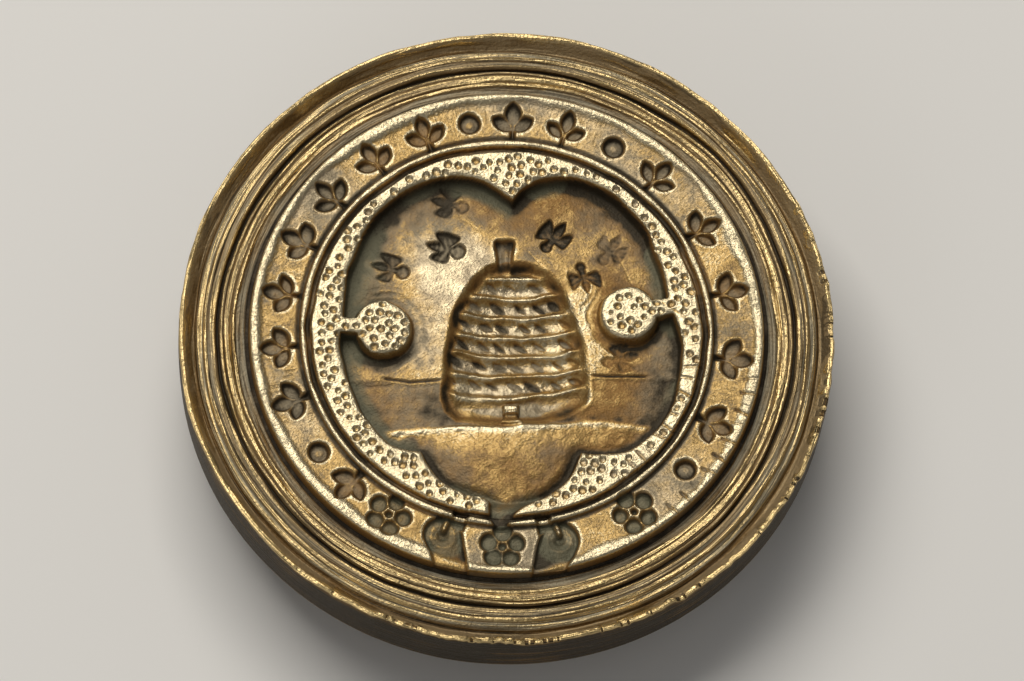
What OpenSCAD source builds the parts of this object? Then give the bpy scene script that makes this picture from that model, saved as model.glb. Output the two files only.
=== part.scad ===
// Round hand seal: an engraved die soldered into a turned and moulded cup, with a
// trefoil handle that hinges on the back of the cup and folds flat beneath it.
// The engraved face looks up (+Z) and the top of its design is towards +Y.
// The seal lies on its hinge lugs and its folded handle, on the plane Z = 0.

/* [Die] */
// Diameter of the engraved disc
die_d = 26.8; // [25.6:0.2:29]
// Thickness of the engraved disc
die_t = 2.6; // [2.4:0.1:3.6]
// Width of the plain fillet round the edge of the face
fillet_w = 0.45; // [0.3:0.05:0.6]
// Radial width of the sunk border band
band_w = 2.25; // [2.1:0.05:2.5]
// Depth of the border band below the face
band_drop = 0.15; // [0.1:0.05:0.25]
// Width of the raised wire inside the band
wire_w = 0.25; // [0.15:0.05:0.35]
// Width of the groove inside the wire
groove_w = 0.35; // [0.2:0.05:0.5]
// Depth of the groove below the face
groove_depth = 0.35; // [0.2:0.05:0.5]

/* [Border ornament] */
// Depth of the border ornament below the band
ornament_depth = 0.35; // [0.2:0.05:0.5]
// Length of a sprig's end leaf
leaf_l = 1.2; // [0.9:0.05:1.3]
// Width of a sprig's end leaf
leaf_w = 0.65; // [0.5:0.05:0.75]
// Length of a sprig's side leaves
side_leaf_l = 1.1; // [0.8:0.05:1.2]
// Length of a sprig's stem
stem_l = 0.95; // [0.8:0.05:1.05]
// Width of a sprig's stem
stem_w = 0.24; // [0.16:0.02:0.3]
// Outer radius of a ring pellet
pellet_r = 0.55; // [0.4:0.05:0.7]
// Radius of the dot left standing in a ring pellet
pellet_dot_r = 0.26; // [0.15:0.01:0.3]
// Radius of a rosette's petals
petal_r = 0.36; // [0.25:0.01:0.38]
// Distance of the petals from the middle of a rosette
petal_reach = 0.7; // [0.68:0.01:0.75]
// Width of a curled strap end
strap_w = 2.0; // [1.4:0.1:2.1]
// Width of a strap's tail where it crosses the fillet
strap_tail_w = 1.6; // [1:0.1:1.9]
// Lean of a strap's tail towards the foot of the design, in degrees
strap_lean = 30; // [0:1:34]
// Radius of the eye left standing in a strap's curl
strap_eye_r = 0.32; // [0.2:0.02:0.4]

/* [Cartouche] */
// Depth of the sunk field at the edge of the face
field_depth = 1.05; // [0.8:0.05:1.3]
// Height that the field swells towards its middle
field_rise = 0.35; // [0.2:0.05:0.5]
// Radius of the scroll roundel on each side
roundel_r = 1.35; // [1.2:0.05:1.6]
// Distance of a roundel's middle from the groove
roundel_reach = 3.7; // [3.4:0.05:4]
// Width of a roundel's neck
neck_w = 0.9; // [0.6:0.1:1.2]
// Distance of the ground's top edge below the hive
ground_gap = 0.6; // [0.4:0.05:1]
// Height of the ground above the edge of the field
ground_rise = 0.3; // [0.2:0.05:0.4]

/* [Hive] */
// Width of the hive at its foot
hive_w = 7.7; // [6.5:0.1:8.4]
// Height of the hive without its finial
hive_h = 8.5; // [7.6:0.1:8.8]
// Sideways place of the hive's middle line
hive_x = 0.5; // [0.2:0.1:0.8]
// Place of the hive's foot below the middle of the face
hive_foot = 4.3; // [3.9:0.1:4.7]
// Depth of the hive below the face
hive_depth = 1.45; // [1.35:0.05:1.6]
// Spacing of the straw coils
coil_pitch = 1.1; // [0.9:0.05:1.4]
// Depth that each coil is cut below the hive's bed
coil_cut = 0.3; // [0.2:0.05:0.4]
// Sag of a coil across the hive
coil_sag = 0.25; // [0.15:0.05:0.4]
// Width of the finial
finial_w = 1.05; // [0.8:0.05:1.3]
// Height of the finial
finial_h = 1.4; // [1:0.1:1.8]
// Sideways place of the finial from the hive's middle line
finial_x = -0.55; // [-0.7:0.05:0.3]
// Width and height of the door block
door_w = 0.85; // [0.6:0.05:1]
// Sideways place of the door block from the hive's middle line
door_x = -0.35; // [-0.6:0.05:0.6]
// Length of a bee's body
bee_l = 1.1; // [0.8:0.05:1.3]
// Width of a bee's body and wings
bee_w = 0.5; // [0.35:0.05:0.6]
// Length of a bee's wings
wing_l = 0.95; // [0.7:0.05:1.1]
// Depth of the bees and the horizon below the edge of the field
bee_cut = 0.15; // [0.1:0.05:0.3]
// Length of each horizon line
horizon_l = 3.1; // [2.4:0.1:3.4]
// Width of each horizon line
horizon_w = 0.16; // [0.1:0.02:0.3]

/* [Cup] */
// Thickness of the cup's floor
floor_t = 1.9; // [1.6:0.1:2.4]
// Width of the solder seam round the die
seam_w = 0.15; // [0.1:0.05:0.25]
// Thickness of the solder bed under the die
solder_t = 0.1; // [0.08:0.02:0.2]
// Height that the die's face stands above the rim
rim_drop = 0.65; // [0.4:0.05:0.75]
// Depth of the moulding's bed below the face
trough_drop = 0.8; // [0.8:0.05:1]
// Width of the flat between the seam and the inner bead
trough_w = 0.35; // [0.2:0.05:0.6]
// Width of the inner bead
inner_bead_w = 0.9; // [0.6:0.05:1]
// Height of both beads
bead_h = 0.15; // [0.1:0.01:0.2]
// Width of the quirk, the groove between the two beads
quirk_w = 0.25; // [0.2:0.05:0.4]
// Depth of the quirk below the moulding's bed
quirk_depth = 0.25; // [0.15:0.05:0.4]
// Width of the outer bead
outer_bead_w = 0.6; // [0.4:0.05:0.8]
// Width of the channel between the outer bead and the lip
channel_w = 1.0; // [0.8:0.05:1.2]
// Depth of the channel below the rim
channel_depth = 0.75; // [0.5:0.05:0.9]
// Radius of the cove that rises from the channel to the lip
cove_r = 0.65; // [0.4:0.05:0.7]
// Width of the lip on top of the rim
lip_w = 0.35; // [0.2:0.05:0.6]
// Radius of the rounded edge of the back
back_edge_r = 0.6; // [0.3:0.1:0.9]

/* [Handle] */
// Thickness of the handle
handle_t = 2.6; // [2.2:0.1:2.7]
// Width of the handle's neck
stalk_w = 4.0; // [3:0.1:4.4]
// Distance of the cord eye from the hinge pin
eye_y = 9.2; // [8:0.1:10]
// Radius of the cord eye
eye_r = 1.7; // [1.2:0.1:2]
// Width of metal round the cord eye
eye_wall = 1.3; // [1:0.1:1.6]
// Radius of the three lobes
lobe_r = 2.2; // [1.8:0.1:2.4]
// Distance of the lobes from the middle of the eye
lobe_reach = 3.0; // [2.6:0.1:3.4]

/* [Hinge] */
// Outer radius of the handle's knuckle
knuckle_r = 1.4; // [1.2:0.05:1.6]
// Length of the knuckle between the lugs
knuckle_w = 4.6; // [4.4:0.1:6]
// Gap between the knuckle and the table
knuckle_lift = 0.1; // [0.05:0.05:0.2]
// Distance of the handle's heel from the hinge pin
heel_y = 0.8; // [0.6:0.05:0.9]
// Gap between the turning heel and the back of the cup
back_gap = 0.2; // [0.15:0.05:0.4]
// Gap between the knuckle and each lug
side_play = 0.1; // [0.05:0.05:0.2]
// Radius of the hinge pin
pin_r = 0.7; // [0.5:0.05:0.8]
// Running clearance round the pin in the knuckle
pin_clear = 0.06; // [0.03:0.01:0.1]
// Radius of the pin's domed heads
pin_head_r = 1.1; // [0.95:0.05:1.2]
// Height of the pin's domed heads
pin_head_h = 0.5; // [0.3:0.05:0.7]
// Thickness of each lug
lug_t = 1.7; // [1.5:0.1:2.4]
// Width of each lug
lug_w = 5.0; // [4:0.1:6]
// Chamfer at the lower corners of each lug
lug_chamfer = 0.8; // [0.4:0.1:1.1]
// Radius of the tenon that fixes a lug in the cup's floor
tenon_r = 0.65; // [0.5:0.05:0.7]
// Radius of the tenon's peened head
peen_r = 1.05; // [0.9:0.05:1.3]
// Height of the tenon's peened head
peen_h = 0.4; // [0.3:0.05:0.6]

/* [Hidden] */
$fn = 96;
small_fn = 32;
dome_fn = 1440;
sag_fn = 180;
past = 1;
tiny_fit = 0.02;

// Heights, from the table upwards
pin_z = knuckle_r + knuckle_lift;
heel_swing = norm([heel_y, max(pin_z, handle_t - pin_z)]);
back_z = pin_z + heel_swing + back_gap;
seat_z = back_z + floor_t;
die_back_z = seat_z + solder_t;
face_z = die_back_z + die_t;
rim_z = face_z - rim_drop;
trough_z = face_z - trough_drop;
band_z = face_z - band_drop;

// Radii of the die's face, from the edge inwards
die_r = die_d / 2;
band_out_r = die_r - fillet_w;
band_in_r = band_out_r - band_w;
band_mid_r = (band_out_r + band_in_r) / 2;
table_out_r = band_in_r - wire_w;
table_r = table_out_r - groove_w;

// Radii of the cup's moulding, from the seat outwards
seat_r = die_r + seam_w;
inner_bead_in = seat_r + trough_w;
inner_bead_out = inner_bead_in + inner_bead_w;
outer_bead_in = inner_bead_out + quirk_w;
outer_bead_out = outer_bead_in + outer_bead_w;
channel_out = outer_bead_out + channel_w;
channel_mid = channel_out - cove_r;
channel_z = rim_z - channel_depth;
rim_r = channel_out + lip_w;

// Clockwise places on the border, in degrees from the top of the design.
// A run of sprigs has its first angle, its last angle and its count.
sprig_runs = [[2, 15.5, 2], [42, 115, 5], [224, 224, 1], [251, 339.5, 7]];
pellet_angles = [28.5, 129, 235.6, 351];
rosette_angles = [146.5, 181.5, 211.5];
strap_angles = [166.9, 196.8];
petals = 5;
side_leaf_turn = 58;

// The cartouche's edge on each side: the width of the table that is left at each angle from
// the top, in three stretches that meet at cusps. The point runs out across the groove.
// It is cut by hand, so the two sides differ a little.
right_edge = [
    [[3, 2.75], [10, 1.5], [19, 0.85], [33, 0.55], [51, 0.8], [67, 1.2], [77, 1.55]],
    [[77, 1.55], [88, 1.15], [97, 0.95], [111, 0.7], [125, 0.7], [138, 1.2], [150, 2.45]],
    [[150, 2.45], [158, 1.5], [167, 0.85], [176, 0.3], [181.5, -0.5]]];
left_edge = [
    [[-3, 2.75], [8, 1.6], [20, 0.9], [33, 0.6], [51, 0.85], [67, 1.25], [86, 1.6]],
    [[86, 1.6], [96, 1.45], [106, 1.4], [116, 1.4], [127, 1.35], [137, 1.5], [146, 2.1]],
    [[146, 2.1], [157, 1.2], [166, 0.85], [173.5, 0.6], [178.5, -0.5]]];
edge_steps = 4;
roundel_turns = [78.5, -87.5];

// Bees: place and heading in degrees
bees = [[-2.9, 7.55, 20], [-3.05, 5.15, 75], [-5.85, 3.95, 45], [2.45, 5.85, 40],
        [5.4, 5.0, 65], [4.2, 3.4, -15], [5.75, -1.1, 80]];
wing_turn = 62;
horizon_y = -2.25;

// The swell of the field is part of a large ball
dome_r = (table_r * table_r + field_rise * field_rise) / (2 * field_rise);
crown_z = face_z - field_depth + field_rise;
field_bed_z = face_z - field_depth - field_rise;
hive_z = face_z - hive_depth;
coil_r = (coil_pitch * coil_pitch / 4 + coil_cut * coil_cut) / (2 * coil_cut);
sag_r = hive_w * hive_w / (8 * coil_sag);
coils = floor(hive_h / coil_pitch);
hive_side_steps = 12;
hive_side_power = 0.82;
hive_top_power = 0.9;

lug_x = knuckle_w / 2 + side_play;
lug_mid_x = lug_x + lug_t / 2;
head_r = eye_r + eye_wall;

function spline(a, b, c, d, t) =
    0.5 * (2 * b + (c - a) * t + (2 * a - 5 * b + 4 * c - d) * t * t
    + (3 * b - a - 3 * c + d) * t * t * t);

function stretch(p) = [
    for (i = [0 : len(p) - 2])
        for (k = [0 : edge_steps - 1])
            spline(p[max(i - 1, 0)], p[i], p[i + 1], p[min(i + 2, len(p) - 1)], k / edge_steps)
];

function on_face(turn, r) = [r * sin(turn), r * cos(turn)];

function edge_side(side, edge) = [
    for (part = edge)
        for (e = stretch(part)) on_face(side * e[0], table_r - e[1])
];

function back_to_front(list) = [for (i = [len(list) - 1 : -1 : 0]) list[i]];

// Lens-shaped leaf that grows from the origin along +Y
module leaf(l, w) {
    r = (l * l + w * w) / (4 * w);
    intersection() {
        translate([r - w / 2, l / 2]) circle(r);
        translate([w / 2 - r, l / 2]) circle(r);
    }
}

// Border ornament: a stem with an end leaf and two side leaves
module sprig() {
    translate([-stem_w / 2, -stem_l]) square([stem_w, stem_l]);
    translate([0, -stem_w]) leaf(leaf_l, leaf_w);
    for (side = [-1, 1])
        translate([0, -stem_l / 2]) rotate(side * side_leaf_turn) leaf(side_leaf_l, leaf_w);
}

module ring_pellet() {
    difference() {
        circle(pellet_r, $fn = small_fn);
        circle(pellet_dot_r, $fn = small_fn);
    }
}

module rosette() {
    for (i = [0 : petals - 1])
        rotate(i * 360 / petals) translate([0, petal_reach]) circle(petal_r, $fn = small_fn);
    circle(petal_reach - petal_r - stem_w / 2, $fn = small_fn);
}

// Strap end: its tail runs in across the fillet and curls round an eye near the wire
module strap_end(lean) {
    tail_l = band_w + 2 * fillet_w;
    translate([0, strap_w / 2 - band_w / 2])
        difference() {
            union() {
                circle(strap_w / 2, $fn = small_fn);
                rotate(lean)
                    polygon([[-strap_w / 2, 0], [strap_w / 2, 0],
                             [strap_tail_w / 2, tail_l], [-strap_tail_w / 2, tail_l]]);
            }
            circle(strap_eye_r, $fn = small_fn);
        }
}

module on_border(turn) {
    rotate(-turn) translate([0, band_mid_r]) children();
}

module border_ornament() {
    for (run = sprig_runs)
        for (i = [0 : run[2] - 1])
            on_border(run[0] + i * (run[1] - run[0]) / max(run[2] - 1, 1)) sprig();
    for (turn = pellet_angles) on_border(turn) ring_pellet();
    for (turn = rosette_angles) on_border(turn) rosette();
    for (turn = strap_angles) on_border(turn) strap_end(turn < 180 ? -strap_lean : strap_lean);
}

module cartouche() {
    end = right_edge[2][len(right_edge[2]) - 1];
    tip = on_face(end[0], table_r - end[1]);
    left = back_to_front(edge_side(-1, left_edge));
    difference() {
        polygon(concat(edge_side(1, right_edge), [tip], [for (i = [0 : len(left) - 2]) left[i]]));
        for (turn = roundel_turns)
            rotate(-turn) {
                translate([0, table_r - roundel_reach]) circle(roundel_r);
                translate([-neck_w / 2, table_r - roundel_reach]) square([neck_w, roundel_reach]);
            }
    }
}

// Half of the hive's bell outline, from the foot to the crown
function hive_side(side) = [
    for (i = [0 : hive_side_steps - 1])
        let (turn = 90 * i / hive_side_steps)
            [side * hive_w / 2 * pow(cos(turn), hive_side_power),
             hive_h * pow(sin(turn), hive_top_power)]
];

module hive_outline() {
    translate([hive_x, -hive_foot])
        difference() {
            polygon(concat(hive_side(1), [[0, hive_h]], back_to_front(hive_side(-1))));
            translate([door_x - door_w / 2, -past]) square([door_w, door_w + past]);
        }
}

module finial_outline() {
    translate([hive_x + finial_x, hive_h - hive_foot]) {
        translate([-finial_w / 2, -finial_w / 2]) square([finial_w, finial_h]);
        translate([0, finial_h - finial_w / 2]) circle(finial_w / 2, $fn = small_fn);
    }
}

module bee() {
    translate([0, -bee_l / 2]) leaf(bee_l, bee_w);
    for (side = [-1, 1]) rotate(side * wing_turn) leaf(wing_l, bee_w);
}

// Rounded floor of the field, left standing inside the field's cut
module field_swell() {
    rotate_extrude()
        intersection() {
            translate([0, crown_z - dome_r]) circle(dome_r, $fn = dome_fn);
            translate([0, field_bed_z - past]) square([die_r, crown_z - field_bed_z + 2 * past]);
        }
}

module ground() {
    top_y = -hive_foot - ground_gap;
    translate([-die_r, top_y - die_r, field_bed_z - past])
        cube([die_d, die_r, past + field_rise + ground_rise]);
}

module field_cut() {
    difference() {
        translate([0, 0, field_bed_z]) linear_extrude(die_t) cartouche();
        field_swell();
        ground();
    }
}

// Round-bottomed cut of one straw coil, part of a large sagging hoop
module coil(y) {
    translate([hive_x, y + sag_r, hive_z + coil_r - coil_cut])
        rotate_extrude($fn = sag_fn) translate([sag_r, 0]) circle(coil_r - tiny_fit);
}

module hive_cut() {
    translate([0, 0, hive_z]) linear_extrude(die_t) hive_outline();
    translate([0, 0, hive_z]) linear_extrude(die_t) finial_outline();
    for (i = [0 : coils - 1])
        intersection() {
            translate([0, 0, hive_z - 2 * coil_cut]) linear_extrude(die_t) hive_outline();
            coil((i + 0.5) * coil_pitch - hive_foot);
        }
}

module small_cuts() {
    bee_z = face_z - field_depth - bee_cut;
    translate([0, 0, bee_z]) linear_extrude(die_t) {
        for (b = bees) translate([b[0], b[1]]) rotate(b[2]) bee();
        for (side = [-1, 1])
            translate([hive_x + side * (hive_w + horizon_l) / 2, horizon_y])
                square([horizon_l, horizon_w], center = true);
    }
}

module seal_die() {
    color([0.72, 0.56, 0.29])
        difference() {
            translate([0, 0, die_back_z]) cylinder(r = die_r, h = die_t);
            translate([0, 0, band_z])
                difference() {
                    cylinder(r = band_out_r, h = die_t);
                    translate([0, 0, -past]) cylinder(r = band_in_r, h = die_t + 2 * past);
                }
            translate([0, 0, face_z - groove_depth])
                difference() {
                    cylinder(r = table_out_r, h = die_t);
                    translate([0, 0, -past]) cylinder(r = table_r, h = die_t + 2 * past);
                }
            translate([0, 0, band_z - ornament_depth]) linear_extrude(die_t) border_ornament();
            field_cut();
            hive_cut();
            small_cuts();
        }
}

// Low rounded bead that stands on the moulding's bed between two radii
module bead(from, to) {
    w = to - from;
    r = (w * w / 4 + bead_h * bead_h) / (2 * bead_h);
    translate([(from + to) / 2, trough_z + bead_h - r]) circle(r);
}

// Channel inside the lip: a slope from the outer bead, then a cove up to the lip
module channel() {
    above = rim_z + past;
    polygon([[outer_bead_out, above], [outer_bead_out, trough_z], [channel_mid, channel_z],
             [channel_mid, above]]);
    intersection() {
        translate([channel_mid, channel_z + cove_r]) circle(cove_r);
        translate([channel_mid, channel_z]) square([cove_r, cove_r]);
    }
    translate([channel_mid, channel_z + cove_r]) square([cove_r, past + channel_depth]);
}

module cup_section() {
    difference() {
        union() {
            translate([0, back_z]) square([rim_r, trough_z - back_z]);
            bead(inner_bead_in, inner_bead_out);
            bead(outer_bead_in, outer_bead_out);
            translate([channel_mid, back_z]) square([rim_r - channel_mid, rim_z - back_z]);
        }
        translate([inner_bead_out, trough_z - quirk_depth]) square([quirk_w, quirk_depth + past]);
        channel();
        translate([-past, seat_z]) square([seat_r + past, die_t + past]);
        difference() {
            translate([rim_r - back_edge_r, back_z - past])
                square([back_edge_r + past, back_edge_r + past]);
            translate([rim_r - back_edge_r, back_z + back_edge_r]) circle(back_edge_r);
        }
    }
}

module moulded_cup() {
    color([0.55, 0.43, 0.24])
        difference() {
            rotate_extrude() cup_section();
            for (side = [-1, 1])
                translate([side * lug_mid_x, 0, back_z]) lug_tenon(tiny_fit);
        }
}

// Seam round the die and bed below it, as the solder fills them
module solder_seam() {
    color([0.45, 0.44, 0.41])
        difference() {
            translate([0, 0, seat_z]) cylinder(r = seat_r, h = trough_z - seat_z);
            translate([0, 0, die_back_z]) cylinder(r = die_r, h = die_t);
        }
}

module lug_tenon(fit) {
    translate([0, 0, -past]) cylinder(r = tenon_r + fit, h = floor_t + past);
    translate([0, 0, floor_t - peen_h])
        cylinder(r1 = tenon_r + fit, r2 = peen_r + fit, h = peen_h + fit);
}

module hinge_lug(side) {
    corner = lug_w / 2 - lug_chamfer;
    color([0.58, 0.45, 0.24])
        difference() {
            union() {
                translate([side * lug_mid_x - lug_t / 2, 0, 0])
                    rotate([90, 0, 90])
                        linear_extrude(lug_t)
                            polygon([[-corner, 0], [corner, 0], [lug_w / 2, lug_chamfer],
                                     [lug_w / 2, back_z], [-lug_w / 2, back_z],
                                     [-lug_w / 2, lug_chamfer]]);
                translate([side * lug_mid_x, 0, back_z]) lug_tenon(0);
            }
            translate([side * lug_mid_x - lug_t, 0, pin_z])
                rotate([0, 90, 0]) cylinder(r = pin_r + tiny_fit, h = 2 * lug_t);
        }
}

module hinge_lug_left() {
    hinge_lug(-1);
}

module hinge_lug_right() {
    hinge_lug(1);
}

module pin_head() {
    ball_r = (pin_head_r * pin_head_r + pin_head_h * pin_head_h) / (2 * pin_head_h);
    intersection() {
        translate([0, 0, pin_head_h - ball_r]) sphere(ball_r);
        translate([-ball_r, -ball_r, 0]) cube([2 * ball_r, 2 * ball_r, ball_r]);
    }
}

module hinge_pin() {
    half = lug_x + lug_t;
    color([0.62, 0.5, 0.28])
        translate([0, 0, pin_z]) {
            rotate([0, 90, 0]) cylinder(r = pin_r, h = 2 * half, center = true);
            for (side = [-1, 1])
                translate([side * half, 0, 0]) rotate([0, side * 90, 0]) pin_head();
        }
}

module folding_handle() {
    color([0.66, 0.51, 0.27])
        difference() {
            union() {
                translate([0, 0, pin_z])
                    rotate([0, 90, 0]) cylinder(r = knuckle_r, h = knuckle_w, center = true);
                linear_extrude(handle_t) {
                    translate([-stalk_w / 2, heel_y]) square([stalk_w, eye_y - heel_y]);
                    translate([0, eye_y]) circle(head_r);
                    for (turn = [0, 90, 180])
                        translate([0, eye_y]) rotate(turn) translate([lobe_reach, 0]) circle(lobe_r);
                }
            }
            translate([0, 0, pin_z])
                rotate([0, 90, 0])
                    cylinder(r = pin_r + pin_clear, h = knuckle_w + 2 * past, center = true);
            translate([0, eye_y, -past]) cylinder(r = eye_r, h = handle_t + 2 * past);
        }
}

moulded_cup();
solder_seam();
seal_die();
hinge_lug_left();
hinge_lug_right();
hinge_pin();
folding_handle();
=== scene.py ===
import math

import bmesh
import bpy
import numpy as np
from mathutils import Matrix, Vector


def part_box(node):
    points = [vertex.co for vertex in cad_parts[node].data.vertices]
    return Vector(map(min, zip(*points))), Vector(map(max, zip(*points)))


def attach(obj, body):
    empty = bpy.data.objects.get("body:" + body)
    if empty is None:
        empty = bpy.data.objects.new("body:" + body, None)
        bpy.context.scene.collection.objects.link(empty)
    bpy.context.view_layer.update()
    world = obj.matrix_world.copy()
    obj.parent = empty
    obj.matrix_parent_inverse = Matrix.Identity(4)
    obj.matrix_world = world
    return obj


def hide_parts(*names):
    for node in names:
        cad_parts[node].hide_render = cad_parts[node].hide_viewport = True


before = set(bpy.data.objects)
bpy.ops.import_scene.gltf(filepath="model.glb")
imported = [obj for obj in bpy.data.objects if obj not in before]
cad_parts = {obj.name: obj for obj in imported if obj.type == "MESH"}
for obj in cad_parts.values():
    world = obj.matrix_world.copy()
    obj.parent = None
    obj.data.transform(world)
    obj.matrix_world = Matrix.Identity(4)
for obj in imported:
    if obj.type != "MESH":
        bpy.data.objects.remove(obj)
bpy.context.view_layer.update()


# Stage: a matt pale floor, one broad soft lamp beyond the top of the design, a weak fill at
# its lower left and a plain grey world. The camera looks down on the face from the lower
# edge of the design, as the photograph does.
class Flow:
    """An output of a node tree that takes part in Python expressions on values."""

    def __init__(self, tree, end=None):
        self.tree = tree
        self.end = end

    def node(self, kind, settings=None, inputs=None, out=0):
        """Makes a node: its settings first, then the values or links of its sockets."""
        made = self.tree.nodes.new(kind)
        for name, value in (settings or {}).items():
            setattr(made, name, value)
        for name, value in (inputs or {}).items():
            if isinstance(value, Flow):
                self.tree.links.new(value.end, made.inputs[name])
            else:
                made.inputs[name].default_value = value
        return Flow(self.tree, made.outputs[out] if made.outputs else None)

    def maths(self, operation, first, second=0.0):
        """One Math node on values or flows."""
        return self.node("ShaderNodeMath", {"operation": operation}, {0: first, 1: second})

    def __add__(self, other):
        return self.maths("ADD", self, other)

    __radd__ = __add__

    def __sub__(self, other):
        return self.maths("SUBTRACT", self, other)

    def __rsub__(self, other):
        return self.maths("SUBTRACT", other, self)

    def __mul__(self, other):
        return self.maths("MULTIPLY", self, other)

    __rmul__ = __mul__

    def __truediv__(self, other):
        return self.maths("DIVIDE", self, other)

    def __rtruediv__(self, other):
        return self.maths("DIVIDE", other, self)

    def __mod__(self, other):
        return self.maths("FLOORED_MODULO", self, other)

    def __rmod__(self, other):
        return self.maths("FLOORED_MODULO", other, self)


def new_material(name):
    """An empty material and the flow that starts its tree."""
    material = bpy.data.materials.new(name)
    material.use_nodes = True
    material.node_tree.nodes.clear()
    return material, Flow(material.node_tree)


def new_object(name, data):
    """An object in the scene that shows this mesh, lamp or camera."""
    made = bpy.data.objects.new(name, data)
    bpy.context.scene.collection.objects.link(made)
    return made


MM = 0.001
face_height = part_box("seal_die")[1].z
rim_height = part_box("moulded_cup")[1].z

floor_colour = (0.79, 0.78, 0.76, 1.0)
floor_roughness = 0.9
floor_gloss = 0.2
floor_reach = 1.2
floor_corners = [(-1, -1), (1, -1), (1, 1), (-1, 1)]
floor_mesh = bpy.data.meshes.new("floor")
floor_mesh.from_pydata([(x * floor_reach, y * floor_reach, 0) for x, y in floor_corners], [],
                       [(0, 1, 2, 3)])
floor = new_object("floor", floor_mesh)
floor_paint, flow = new_material("floor_paint")
floor_shader = flow.node("ShaderNodeBsdfPrincipled", None,
                         {"Base Color": floor_colour, "Roughness": floor_roughness,
                          "Specular IOR Level": floor_gloss})
flow.node("ShaderNodeOutputMaterial", None, {"Surface": floor_shader})
floor_mesh.materials.append(floor_paint)

world_grey = (1.0, 0.985, 0.96, 1.0)
world_strength = 0.18
world = bpy.data.worlds.new("studio")
world.use_nodes = True
world.node_tree.nodes["Background"].inputs["Color"].default_value = world_grey
world.node_tree.nodes["Background"].inputs["Strength"].default_value = world_strength
bpy.context.scene.world = world


def soft_lamp(name, place, width, height, watts, colour):
    """A rectangular soft lamp that faces the middle of the seal."""
    lamp = bpy.data.lights.new(name, "AREA")
    lamp.shape = "RECTANGLE"
    lamp.size = width
    lamp.size_y = height
    lamp.energy = watts
    lamp.color = colour
    holder = new_object(name, lamp)
    holder.location = place
    aim = Vector((0, 0, face_height)) - Vector(place)
    holder.rotation_euler = aim.to_track_quat("-Z", "Y").to_euler()


soft_lamp("key_lamp", place=(-0.10, 0.23, 0.43), width=0.38, height=0.32, watts=1.95,
          colour=(1.0, 0.96, 0.89))
soft_lamp("fill_lamp", place=(-0.25, -0.40, 0.25), width=0.30, height=0.30, watts=0.22,
          colour=(0.97, 0.98, 1.0))

view_elevation = math.radians(68.6)
view_turn = math.radians(6.0)
view_lean = math.radians(0.44)
view_distance = 1.2
picture_width = 53.1 * MM
aim_right = 0.29 * MM
aim_down = 0.22 * MM
back = Vector((
    -math.sin(view_turn) * math.cos(view_elevation),
    -math.cos(view_turn) * math.cos(view_elevation),
    math.sin(view_elevation),
))
right = Vector((math.sin(view_lean), math.cos(view_lean), 0)).cross(back).normalized()
up = back.cross(right)
lens = bpy.data.cameras.new("camera")
lens.sensor_width = 36.0
lens.lens = lens.sensor_width * view_distance / picture_width
lens.clip_start = 0.01
camera = new_object("camera", lens)
aim = Vector((0, 0, rim_height)) + right * aim_right - up * aim_down
camera.matrix_world = Matrix.Translation(aim + back * view_distance) @ Matrix(
    (right, up, back)).transposed().to_4x4()
bpy.context.scene.camera = camera
bpy.context.scene.view_settings.view_transform = "Standard"


# Moulded cup: the turned brass holder of the die, with a stepped moulding, a channel and a thin
# lip round the face, a plain side and a flat back. It is turned from its section by a Geometry
# Nodes lathe, which also gives the lip its waves and nicks. Its finish is darker in every hollow,
# and is painted dark as shade beside the die's foot, on the lip's outer edge and on the plain side.
def rise(x, low, high):
    """Smooth step of an array from 0 at low to 1 at high."""
    t = np.clip((x - low) / (high - low), 0, 1)
    return t * t * (3 - 2 * t)


def hump(x, middle, width):
    """Bell curve of an array, 1 at its middle."""
    return np.exp(-((x - middle) / width) ** 2)


def fade(value, low, high):
    """Smooth step of a flow from 0 at low to 1 at high."""
    return value.node("ShaderNodeMapRange", {"interpolation_type": "SMOOTHSTEP"},
                      {"Value": value, "From Min": low, "From Max": high})


def stirred(value, *parts):
    """A value with noises added, each about its middle of 0.5 and in its own share."""
    for noise, share in parts:
        value = value + (noise - 0.5) * share
    return value


def crossing(noise, wide, narrow):
    """Thin lines where a noise crosses its middle, faint at wide and full at narrow."""
    return fade(noise.maths("ABSOLUTE", noise - 0.5), wide, narrow)


def new_tree(name, sockets):
    """A Geometry Nodes tree that gives a piece, with its named inputs and their flows."""
    tree = bpy.data.node_groups.new(name, "GeometryNodeTree")
    for socket, kind in sockets:
        tree.interface.new_socket(name=socket, in_out="INPUT", socket_type="NodeSocket" + kind)
    tree.interface.new_socket(name="Piece", in_out="OUTPUT", socket_type="NodeSocketGeometry")
    start = Flow(tree)
    return tree, start, [start.node("NodeGroupInput", None, None, socket) for socket, kind in sockets]


def end_tree(shape, finish):
    """Ends a Geometry Nodes tree with real geometry in its finish."""
    shape = shape.node("GeometryNodeRealizeInstances", None, {"Geometry": shape})
    shape = shape.node("GeometryNodeSetMaterial", None, {"Geometry": shape, "Material": finish})
    shape.node("NodeGroupOutput", None, {"Piece": shape})


def stored(start, name):
    """A value that the points of a mesh hold under this name."""
    return start.node("GeometryNodeInputNamedAttribute", {"data_type": "FLOAT"}, {"Name": name})


def store(shape, name, value):
    """Geometry whose points hold a value under this name."""
    return shape.node("GeometryNodeStoreNamedAttribute", {"data_type": "FLOAT", "domain": "POINT"},
                      {"Geometry": shape, "Name": name, "Value": value})


# The lip's knocked side: its direction, where the knocks begin and where they are worst.
knock_x = 0.62
knock_y = -0.78
knock_from = -0.1
knock_full = 0.7
# Pace of the nicks along it, and depths of the turning tool's marks in millimetres.
nick_pace = 12.0
nick_shift = 5.3
noise_detail = 2.0
chatter_depth = 0.24
swell_depth = 0.18
drift_width = 0.36
seam_reach = 1e-7


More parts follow.
